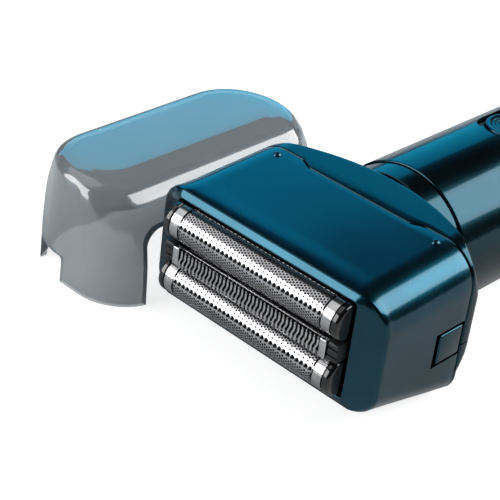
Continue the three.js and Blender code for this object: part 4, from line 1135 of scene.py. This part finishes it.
class SHAVER_OT_controls(bpy.types.Operator):
    """Make the control plate, the power button and the charge window."""

    bl_idname = "shaver.controls"
    bl_label = "Controls"

    def execute(self, context):
        crown = HANDLE_RADIUS - RECESS_DEPTH
        outline = stadium(RECESS_HALF_WIDTH - GAP, RECESS_LENGTH - 2 * GAP, RECESS_START + GAP)
        plate = extruded("plate", outline, PLATE_BOTTOM, HANDLE_RADIUS, "xyz")
        combine(plate, rod("crown", crown, 60, 120, 220), "INTERSECT")
        for radius, y in ((BUTTON_RADIUS + GAP, BUTTON_Y), (WINDOW_RADIUS + GAP, WINDOW_Y)):
            combine(plate, rod("hole", radius, CUT_LOW, CUT_HIGH, 72, (0, y), "Z"))
        settle(plate, "control_plate_painted", "handle", ["control_plate"], "gloss_blue",
               angle=30, radial=crown)
        self.button(crown)
        self.window(crown)
        return {"FINISHED"}

    def button(self, crown):
        """A dished button with a rounded rim and three fine rings."""
        top = crown + 0.5
        profile = [(POLE, PLATE_BOTTOM - 1), (1.6, PLATE_BOTTOM - 1), (1.6, PLATE_BOTTOM + 1.6),
                   (BUTTON_RADIUS - 0.1, PLATE_BOTTOM + 1.6), (BUTTON_RADIUS, PLATE_BOTTOM + 1.7)]
        for k in range(7):
            angle = math.radians(15 * k)
            profile.append((BUTTON_RADIUS - 0.5 * (1 - math.cos(angle)),
                            top - 0.5 + 0.5 * math.sin(angle)))
        for radius in (4.4, 3.6, 2.8):
            dish = top - 0.1 - 0.25 * (1 - (radius / BUTTON_RADIUS) ** 2)
            profile += [(radius + 0.12, dish), (radius + 0.04, dish - 0.06),
                        (radius - 0.04, dish - 0.06), (radius - 0.12, dish)]
        profile += [(1.5, top - 0.33), (POLE, top - 0.36)]
        button = turned("button", profile, 96, (0, BUTTON_Y), "Z")
        settle(button, "power_button_painted", "power_key", ["power_button"], "satin_blue", angle=35)

    def window(self, crown):
        """A round window with a low dome."""
        top, dome = crown - 0.1, 0.25
        profile = [(POLE, PLATE_BOTTOM + 1), (WINDOW_RADIUS, PLATE_BOTTOM + 1),
                   (WINDOW_RADIUS, top - dome)]
        for k in range(1, 7):
            angle = math.radians(15 * k)
            profile.append((max(WINDOW_RADIUS * math.cos(angle), POLE),
                            top - dome + dome * math.sin(angle)))
        window = turned("window", profile, 48, (0, WINDOW_Y), "Z")
        settle(window, "indicator_window_domed", "handle", ["indicator_window"],
               "window_plastic", angle=35)


class SHAVER_OT_tail(bpy.types.Operator):
    """Make the end cap with its charging port, and its two screws."""

    bl_idname = "shaver.tail"
    bl_label = "End cap and screws"

    def execute(self, context):
        segments = context.scene.shaver_sizes.turned_segments
        radius, start, spigot, round_ = HANDLE_RADIUS, SLEEVE_END + GAP, SPIGOT_START, 2.2
        bore = SLEEVE_BORE
        profile = [(POLE, spigot), (bore - 0.5, spigot), (bore - GAP, spigot + 0.2),
                   (bore - GAP, spigot + 1.6), (bore - 1.5, spigot + 1.6),
                   (bore - 1.5, spigot + 3.6), (bore - GAP, spigot + 3.6), (bore - GAP, start),
                   (radius - 0.35, start), (radius - 0.1, start + 0.1), (radius, start + 0.35)]
        for k in range(13):
            angle = math.radians(7.5 * k)
            profile.append((radius - round_ + round_ * math.cos(angle),
                            TAIL - round_ + round_ * math.sin(angle)))
        profile += [(11.6, TAIL), (POLE, TAIL)]
        cap = turned("end_cap", profile, segments)
        combine(cap, extruded("port", rounded_pairs(5.6, 2.7, 1.2), spigot - 1, TAIL + 1, "xzy"))
        for side in (-1, 1):
            centre = (side * SCREW_X, 0)
            combine(cap, rod("bore", SCREW_BORE, spigot - 1, TAIL, 24, centre))
            combine(cap, rod("well", WELL_RADIUS, TAIL - WELL_DEPTH, TAIL + 1, 36, centre))
        settle(cap, "end_cap_painted", "handle", ["end_cap"], "gloss_blue",
               angle=30, radial=HANDLE_RADIUS)
        self.screws()
        return {"FINISHED"}

    def screws(self):
        """A cross-head screw, copied to both sides of the port."""
        seat, end = TAIL - WELL_DEPTH + GAP, SPIGOT_START - GAP - 2
        profile = [(POLE, end), (0.8, end + 0.3), (1.1, end + 0.7), (1.1, seat), (1.8, seat),
                   (1.9, seat + 0.1), (1.9, seat + 0.8), (1.7, seat + 1.15), (1.2, seat + 1.35),
                   (POLE, seat + 1.4)]
        screw = turned("screw", profile, 32)
        for half_x, half_z in ((1.25, 0.22), (0.22, 1.25)):
            combine(screw, block("slot", (-half_x, seat + 0.6, -half_z), (half_x, seat + 3, half_z)))
        run_tree(screw, tree_of("row"), {
            "Count": 2, "Start": (-SCREW_X, 0.0, 0.0), "Step": (2 * SCREW_X, 0.0, 0.0),
            "Material": finish_of("spring_steel")})
        settle(screw, "tail_screws", "handle", ["tail_screw_left", "tail_screw_right"],
               "spring_steel")


def rounded_pairs(half_width, half_height, radius, steps=8):
    """A rounded rectangle about the origin, as pairs."""
    points = []
    for quarter, (sx, sy) in enumerate(((1, 1), (-1, 1), (-1, -1), (1, -1))):
        for k in range(steps + 1):
            angle = (quarter + k / steps) * math.pi / 2
            points.append((sx * (half_width - radius) + radius * math.cos(angle),
                           sy * (half_height - radius) + radius * math.sin(angle)))
    return points


class SHAVER_OT_release_buttons(bpy.types.Operator):
    """Make the two release buttons in the head's side notches."""

    bl_idname = "shaver.release_buttons"
    bl_label = "Release buttons"

    def execute(self, context):
        for name, side in (("left", -1), ("right", 1)):
            outer = HEAD_HALF - 0.02
            plate = block("plate", (HEAD_HALF - 1.5, NOTCH_START + 1.7, NOTCH_REAR + GAP),
                          (outer, FRAME_LENGTH - GAP, NOTCH_FRONT - 1))
            bevelled(plate, 0.4, 4)
            stem = block("stem", (HEAD_HALF - 6.4, 23.2, -4.2), (HEAD_HALF - 1.4, 27.4, 0.2))
            button = joined("button", [plate, bevelled(stem, 0.15)])
            if side < 0:
                button.data.transform(Matrix.Diagonal((-1, 1, 1, 1)))
                button.data.flip_normals()
            settle(button, f"release_button_{name}_painted", f"release_{name}",
                   [f"release_button_{name}"], "satin_blue", angle=35)
        return {"FINISHED"}


# Distances along a foil's arch, from its crest towards the front of the shaver.
GROOVE_AT = 1.26
UPPER_ZONE_FIRST = 2.38
LOWER_ZONE_FIRST = 0.28
PLAIN_END = 2.25


def on_arch(x, s, lift, centre_z):
    """A point that lies s along the arch from its crest, and lift above the sheet."""
    quarter = FOIL_RADIUS * math.pi / 2
    along = min(max(s, -quarter), quarter)
    radius = FOIL_RADIUS + lift
    angle = along / FOIL_RADIUS
    return (x, FOIL_CENTRE - radius * math.cos(angle) + abs(s) - abs(along),
            centre_z + radius * math.sin(angle))


class SHAVER_OT_foils(bpy.types.Operator):
    """Make the two perforated foils: staggered round holes, a row of dimpled slots and plain ends."""

    bl_idname = "shaver.foils"
    bl_label = "Foils"

    def execute(self, context):
        for name, z in (("upper", UPPER_Z), ("lower", LOWER_Z)):
            self.foil(context.scene.shaver_sizes, name, z)
        return {"FINISHED"}

    def foil(self, sizes, name, z):
        steel = finish_of("foil_steel")
        pitch = sizes.hole_pitch
        column = pitch * math.sqrt(3) / 2
        columns = 2 * int((FOIL_HALF - PLAIN_END) / column) - 1
        first = -column * (columns - 1) / 2
        upper_rows, lower_rows = 7, 11
        odd_columns = (columns - 1) // 2
        common = {"Arch Radius": FOIL_RADIUS, "Arch Centre Y": FOIL_CENTRE, "Arch Centre Z": z,
                  "Material": steel}
        runs = [
            (self.tile(pitch, sizes.hole_diameter), columns, upper_rows, column, first,
             UPPER_ZONE_FIRST, 1.5 * pitch),
            (self.tile(pitch, sizes.hole_diameter), columns, lower_rows, column, first,
             LOWER_ZONE_FIRST - (lower_rows - 1) * pitch, -pitch / 2),
            (self.tile(pitch, 0), odd_columns, 2, 2 * column, first + column,
             UPPER_ZONE_FIRST - pitch / 2, 0.0),
            (self.tile(pitch, 0), odd_columns, 1, 2 * column, first + column,
             LOWER_ZONE_FIRST + pitch / 2, 0.0),
            (self.slot_tile(2 * column), odd_columns + 1, 1, 2 * column, first, GROOVE_AT, 0.0),
        ]
        parts = []
        for tile, count, rows, spacing, first_x, first_s, stagger in runs:
            parts.append(run_tree(tile, tree_of("arch"), {
                **common, "Columns": count, "Rows": rows, "Column Spacing": spacing,
                "Row Spacing": pitch, "First Column": first_x, "First Row": first_s,
                "Stagger": stagger}))
        parts += self.plain_bands(z, UPPER_ZONE_FIRST + (upper_rows - 0.5) * pitch + 0.1,
                                  LOWER_ZONE_FIRST - (lower_rows - 0.5) * pitch - 0.1)
        sheet = joined("foil", parts)
        solidify = sheet.modifiers.new("thickness", "SOLIDIFY")
        solidify.thickness = sizes.foil_thickness
        solidify.offset = -1
        bake(sheet)
        settle(sheet, f"{name}_foil_perforated", f"{name}_foil_unit", [f"{name}_foil"],
               "foil_steel", angle=30)

    def sheet(self, name, points, faces):
        """A flat open sheet facing up."""
        mesh = bpy.data.meshes.new(name)
        mesh.from_pydata(points, [], faces)
        obj = bpy.data.objects.new(name, mesh)
        bpy.context.scene.collection.objects.link(obj)
        return obj

    def tile(self, pitch, hole):
        """One hexagon of foil, with a round hole in it unless hole is 0."""
        corner = pitch / math.sqrt(3)
        outer = []
        for k in range(6):
            a, b = math.radians(60 * k), math.radians(60 * (k + 1))
            start = (corner * math.cos(a), corner * math.sin(a))
            stop = (corner * math.cos(b), corner * math.sin(b))
            outer += [start, ((start[0] + stop[0]) / 2, (start[1] + stop[1]) / 2)]
        points = [(x, y, 0) for x, y in outer]
        if not hole:
            return self.sheet("plain_tile", points, [tuple(range(12))])
        for k in range(12):
            angle = math.radians(30 * k)
            points.append((hole / 2 * math.cos(angle), hole / 2 * math.sin(angle), 0))
        faces = [(k, (k + 1) % 12, 12 + (k + 1) % 12, 12 + k) for k in range(12)]
        return self.sheet("hole_tile", points, faces)

    def slot_tile(self, width):
        """A rectangle of foil with one dimpled oval slot."""
        low, high = 0.62 - GROOVE_AT, 2.10 - GROOVE_AT
        count = 20
        rings = [[], [], [], []]
        for k in range(count):
            angle = 2 * math.pi * k / count
            c, s = math.cos(angle), math.sin(angle)
            scale = min(width / 2 / max(abs(c), 1e-9), (high if s > 0 else -low) / max(abs(s), 1e-9))
            rings[0].append((c * scale, s * scale, 0.012))
            rings[1].append((0.54 * c, 0.57 * s, 0.012))
            rings[2].append((0.48 * c, 0.52 * s, -0.03))
            rings[3].append((0.38 * c, 0.45 * s, -0.14))
        for x, y in ((1, 1), (-1, 1), (-1, -1), (1, -1)):
            target = (x * width / 2, high if y > 0 else low)
            nearest = min(range(count), key=lambda k: math.dist(rings[0][k][:2], target))
            rings[0][nearest] = (*target, 0.012)
        points = [p for ring in rings for p in ring]
        faces = []
        for level in range(3):
            for k in range(count):
                following = (k + 1) % count
                faces.append((level * count + k, level * count + following,
                              (level + 1) * count + following, (level + 1) * count + k))
        return self.sheet("slot_tile", points, faces)

    def plain_bands(self, z, upper, lower):
        """The unperforated ends, with two fine grooves, and the edges that run down into the head."""
        end = FOIL_RADIUS * math.pi / 2 + FOIL_LEG - FOIL_CENTRE
        along = [-end + 0.25 * k for k in range(int(2 * end / 0.25) + 1)]
        profile = [(s, 0.02) for s in along if abs(s - GROOVE_AT) > 0.45]
        for middle in (GROOVE_AT - 0.2, GROOVE_AT + 0.2):
            profile += [(middle - 0.1, 0.02), (middle - 0.06, -0.1), (middle + 0.06, -0.1),
                        (middle + 0.1, 0.02)]
        profile = sorted(profile + [(end, 0.02)])
        inner = FOIL_HALF - PLAIN_END
        bands = [self.band(z, profile, (-FOIL_HALF, -inner)), self.band(z, profile, (inner, FOIL_HALF))]
        for low, high in ((upper - 0.45, end), (-end, lower + 0.45)):
            steps = 10
            edge = [(lerp(low, high, k / steps), 0.02) for k in range(steps + 1)]
            bands.append(self.band(z, edge, (-inner, inner)))
        return bands

    def band(self, z, profile, reach):
        xs = [lerp(reach[0], reach[1], k / 4) for k in range(5)]
        points = [on_arch(x, s, lift, z) for x in xs for s, lift in profile]
        count = len(profile)
        faces = []
        for row in range(len(xs) - 1):
            for k in range(count - 1):
                a = row * count + k
                faces.append((a, a + count, a + count + 1, a + 1))
        return self.sheet("band", points, faces)


class SHAVER_OT_foil_ends(bpy.types.Operator):
    """Make the four rounded black end pieces of the foils."""

    bl_idname = "shaver.foil_ends"
    bl_label = "Foil ends"

    def execute(self, context):
        inner, outer = FOIL_HALF + GAP, OPENING_HALF - GAP
        for name, z in (("upper", UPPER_Z), ("lower", LOWER_Z)):
            for side_name, side in (("left", -1), ("right", 1)):
                rings = [self.outline(side * x, inset, z) for x, inset in (
                    (inner, 0.12), (inner + 0.12, 0), (outer - 0.75, 0), (outer - 0.45, 0.06),
                    (outer - 0.22, 0.2), (outer - 0.07, 0.42), (outer, 0.75))]
                end = skin("foil_end", rings)
                settle(end, f"{name}_foil_end_{side_name}_rounded", f"{name}_foil_unit",
                       [f"{name}_foil_end_{side_name}"], "black_plastic", "gloss_black",
                       angle=40)
        return {"FINISHED"}

    def outline(self, x, inset, z):
        radius, steps, back = FOIL_END_RADIUS - inset, 40, 3.8
        ring = [(x, back, z - radius)]
        for k in range(steps + 1):
            angle = math.pi * k / steps
            ring.append((x, FOIL_CENTRE - radius * math.sin(angle), z - radius * math.cos(angle)))
        ring.append((x, back, z + radius))
        return ring


class SHAVER_OT_trimmer(bpy.types.Operator):
    """Make the trimmer's comb of bent bars, its rails and pads, and the two grooved end pieces."""

    bl_idname = "shaver.trimmer"
    bl_label = "Trimmer"

    def execute(self, context):
        sizes = context.scene.shaver_sizes
        steel = finish_of("comb_steel")
        pitch = sizes.tooth_pitch
        count = int(2 * BARS_HALF / pitch)
        bars = run_tree(self.bar(sizes.tooth_width), tree_of("row"), {
            "Count": count, "Start": (-pitch * (count - 1) / 2, 0.0, 0.0), "Step": (pitch, 0.0, 0.0),
            "Material": steel})
        parts = [bars]
        for low, high in ((TRIMMER_LOW, 1.62), (5.38, TRIMMER_HIGH)):
            rail = block("rail", (-COMB_HALF, -2.75, low), (COMB_HALF, RAIL_BACK, high))
            parts.append(bevelled(rail, 0.06))
        for side in (-1, 1):
            reach = sorted((side * 19.75, side * COMB_HALF))
            pad = block("pad", (reach[0], BAR_FRONT, TRIMMER_LOW), (reach[1], PAD_BACK, TRIMMER_HIGH))
            parts.append(bevelled(pad, 0.16, 3))
        settle(joined("comb", parts), "trimmer_comb_barred", "trimmer", ["trimmer_comb"],
               "foil_steel", "comb_steel", angle=35)
        for name, side in (("left", -1), ("right", 1)):
            reach = sorted((side * 21.7, side * TRIMMER_HALF))
            outline = [(TRIMMER_LOW, 1.2), (TRIMMER_HIGH, 1.2), (TRIMMER_HIGH, BAR_BACK), (5.3, -3.2)]
            for middle in (4.35, 2.65):
                outline += [(middle + 0.2, -3.2), (middle + 0.14, -2.65), (middle - 0.14, -2.65),
                            (middle - 0.2, -3.2)]
            outline += [(1.7, -3.2), (TRIMMER_LOW, BAR_BACK)]
            end = bevelled(extruded("end", outline, reach[0], reach[1], "zyx"), 0.08, 2)
            settle(end, f"trimmer_end_{name}_grooved", "trimmer", [f"trimmer_end_{name}"],
                   "dark_grey", angle=30)
        return {"FINISHED"}

    def bar(self, width):
        """One bar of the comb: an S in plan, with a separate tip at its front end."""
        rings = []
        low, high, steps = 1.5, 5.05, 9
        half = width / 2
        for k in range(steps + 1):
            z = lerp(low, high, k / steps)
            lean = 0.52 * (smoothstep(z, 2.5, 4.0) - 0.5)
            rings.append([
                (lean - half, BAR_BACK, z), (lean - half, -3.52, z),
                (lean - half + 0.08, BAR_FRONT, z), (lean + half - 0.08, BAR_FRONT, z),
                (lean + half, -3.52, z), (lean + half, BAR_BACK, z)])
        bar = skin("bar", rings)
        tip = block("tip", (0.26 - half * 0.7, -3.55, 5.22), (0.26 + half * 0.7, BAR_BACK, 5.52))
        return joined("bar_and_tip", [bar, tip])


class SHAVER_OT_cap(bpy.types.Operator):
    """Make the clear cap: domed top, arch in the near wall and a notch in each end."""

    bl_idname = "shaver.cap"
    bl_label = "Protective cap"

    def execute(self, context):
        rings = self.surface(0) + self.surface(CAP_WALL)[::-1]
        cap = skin("cap", rings)
        combine(cap, self.arch())
        notch = [(CAP_NOTCH_X + x, FLOOR_Z + z) for x, z in rounded_pairs(
            CAP_NOTCH_WIDTH / 2, CAP_NOTCH_HEIGHT, 0.9)]
        combine(cap, extruded("notch", notch, CAP_Y - 45, CAP_Y + 45, "xzy"))
        settle(cap, "protective_cap_clear", "cap", ["protective_cap"], "smoke_clear", angle=38)
        return {"FINISHED"}

    def surface(self, inset):
        """Rings from the middle of the top down to the floor, on the outside or inset from it."""
        # height, then how far the ends, the near wall, the far wall and the corners draw in
        wall = [(0, 0, 0, 0, 0), (12, 0.3, 0.9, 0.3, 0.5), (20, 0.8, 2.7, 0.9, 1),
                (23.6, 1.2, 5, 1.8, 1.5)]
        dome = [(23.6, 1.2, 5, 1.8, 1.5), (25.8, 2, 7.9, 2.6, 2.5), (26.9, 3.6, 10.6, 4, 3.5),
                (27.5, 7, 13.6, 7, 5.5)]
        crown = [(27.58, 10, 15.4, 9.4, 7.5), (27.62, 14, 17.6, 12, 9.5), (27.64, 18, 19.6, 14.6, 10.5)]
        path = smooth_path(wall, 5)[:-1] + smooth_path(dome, 5) + crown
        rings = []
        for level, (height, ends, near, far, tighter) in enumerate(path):
            z = FLOOR_Z if level == 0 else FLOOR_Z + max(height - inset, 0.4 * level)
            draw = inset if level < len(path) - len(crown) else inset * 0.2
            ends, far = max(ends, 0), max(far, 0)
            outline = rounded_outline(
                CAP_HALF_LENGTH - ends - draw,
                -CAP_HALF_WIDTH + far + draw, CAP_HALF_WIDTH - near - draw,
                CAP_CORNER_FAR - tighter - inset, CAP_CORNER_NEAR - tighter - inset)
            rings.append([(CAP_X + across, CAP_Y + along, z) for along, across, _ in outline])
        return rings[::-1]

    def arch(self):
        half, top, corner = CAP_ARCH_HALF, CAP_ARCH_HEIGHT, CAP_ARCH_CORNER
        outline = [(CAP_Y - half, FLOOR_Z - 2), (CAP_Y + half, FLOOR_Z - 2)]
        for side, turn in ((1, 0), (-1, 1)):
            for k in range(13):
                angle = (turn + k / 12) * math.pi / 2
                outline.append((CAP_Y + side * (half - corner) + corner * math.cos(angle),
                                FLOOR_Z + top - corner + corner * math.sin(angle)))
        return extruded("arch", outline, CAP_X, CAP_X + CAP_HALF_WIDTH + 5, "yzx")


INNER_FINISHES = {
    "black_plastic": ("foil_cassette", "trimmer_carrier", "drive_deck", "motor_mount", "inner_chassis"),
    "dark_grey": ("upper_cutter_carrier", "lower_cutter_carrier", "oscillator_bridge", "flex_arm_left",
                  "flex_arm_right", "eccentric", "power_switch"),
    # The cutters and the trimmer blade take the nearly black steel, which is painted shade in the foil
    # holes and behind the comb.
    "cutter_steel_painted_shade": ("upper_inner_cutter", "lower_inner_cutter", "trimmer_blade"),
    "spring_steel": ("upper_cutter_spring", "lower_cutter_spring", "motor_shaft", "motor_can",
                     "release_spring_left", "release_spring_right", "deck_screw_front_left",
                     "deck_screw_front_right", "deck_screw_rear_left", "deck_screw_rear_right",
                     "battery_contact_front", "battery_contact_rear", "charging_socket"),
    "seal_rubber": ("shaft_seal", "end_cap_seal"),
    "cell_wrap": ("battery_cell",),
    "board_green": ("circuit_board",),
}


class SHAVER_OT_inner_parts(bpy.types.Operator):
    """Give the drive, the cell and the other inner pieces their finishes."""

    bl_idname = "shaver.inner_parts"
    bl_label = "Inner parts"

    def execute(self, context):
        for slot, names in INNER_FINISHES.items():
            for name in names:
                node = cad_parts[name]
                material = finish_of(slot)
                if not node.material_slots:
                    node.data.materials.append(material)
                for place in node.material_slots:
                    place.material = material
        return {"FINISHED"}


# ---- panel and registration ----------------------------------------------------
OPERATORS = (
    SHAVER_OT_stage, SHAVER_OT_foil_frame, SHAVER_OT_head_base, SHAVER_OT_handle, SHAVER_OT_controls,
    SHAVER_OT_tail, SHAVER_OT_release_buttons, SHAVER_OT_foils, SHAVER_OT_foil_ends, SHAVER_OT_trimmer,
    SHAVER_OT_cap, SHAVER_OT_inner_parts,
)


class SHAVER_PT_sidebar(bpy.types.Panel):
    """Lists the shaver's settings and the steps that build it."""

    bl_idname = "SHAVER_PT_sidebar"
    bl_label = "Shaver"
    bl_space_type = "VIEW_3D"
    bl_region_type = "UI"
    bl_category = "Shaver"

    def draw(self, context):
        layout = self.layout
        scene = context.scene
        for settings in (scene.shaver_sizes, scene.shaver_colours, scene.shaver_stage):
            column = layout.column(align=True)
            for name in settings.__annotations__:
                column.prop(settings, name)
        for operator in OPERATORS:
            layout.operator(operator.bl_idname)


CLASSES = (ShaverSizes, ShaverColours, ShaverStage, *OPERATORS, SHAVER_PT_sidebar)


def register():
    for cls in CLASSES:
        bpy.utils.register_class(cls)
    bpy.types.Scene.shaver_sizes = PointerProperty(type=ShaverSizes)
    bpy.types.Scene.shaver_colours = PointerProperty(type=ShaverColours)
    bpy.types.Scene.shaver_stage = PointerProperty(type=ShaverStage)


def unregister():
    del bpy.types.Scene.shaver_stage
    del bpy.types.Scene.shaver_colours
    del bpy.types.Scene.shaver_sizes
    for cls in reversed(CLASSES):
        bpy.utils.unregister_class(cls)


def main():
    register()
    for operator in OPERATORS:
        family, name = operator.bl_idname.split(".")
        getattr(getattr(bpy.ops, family), name)()


if __name__ == "__main__":
    main()
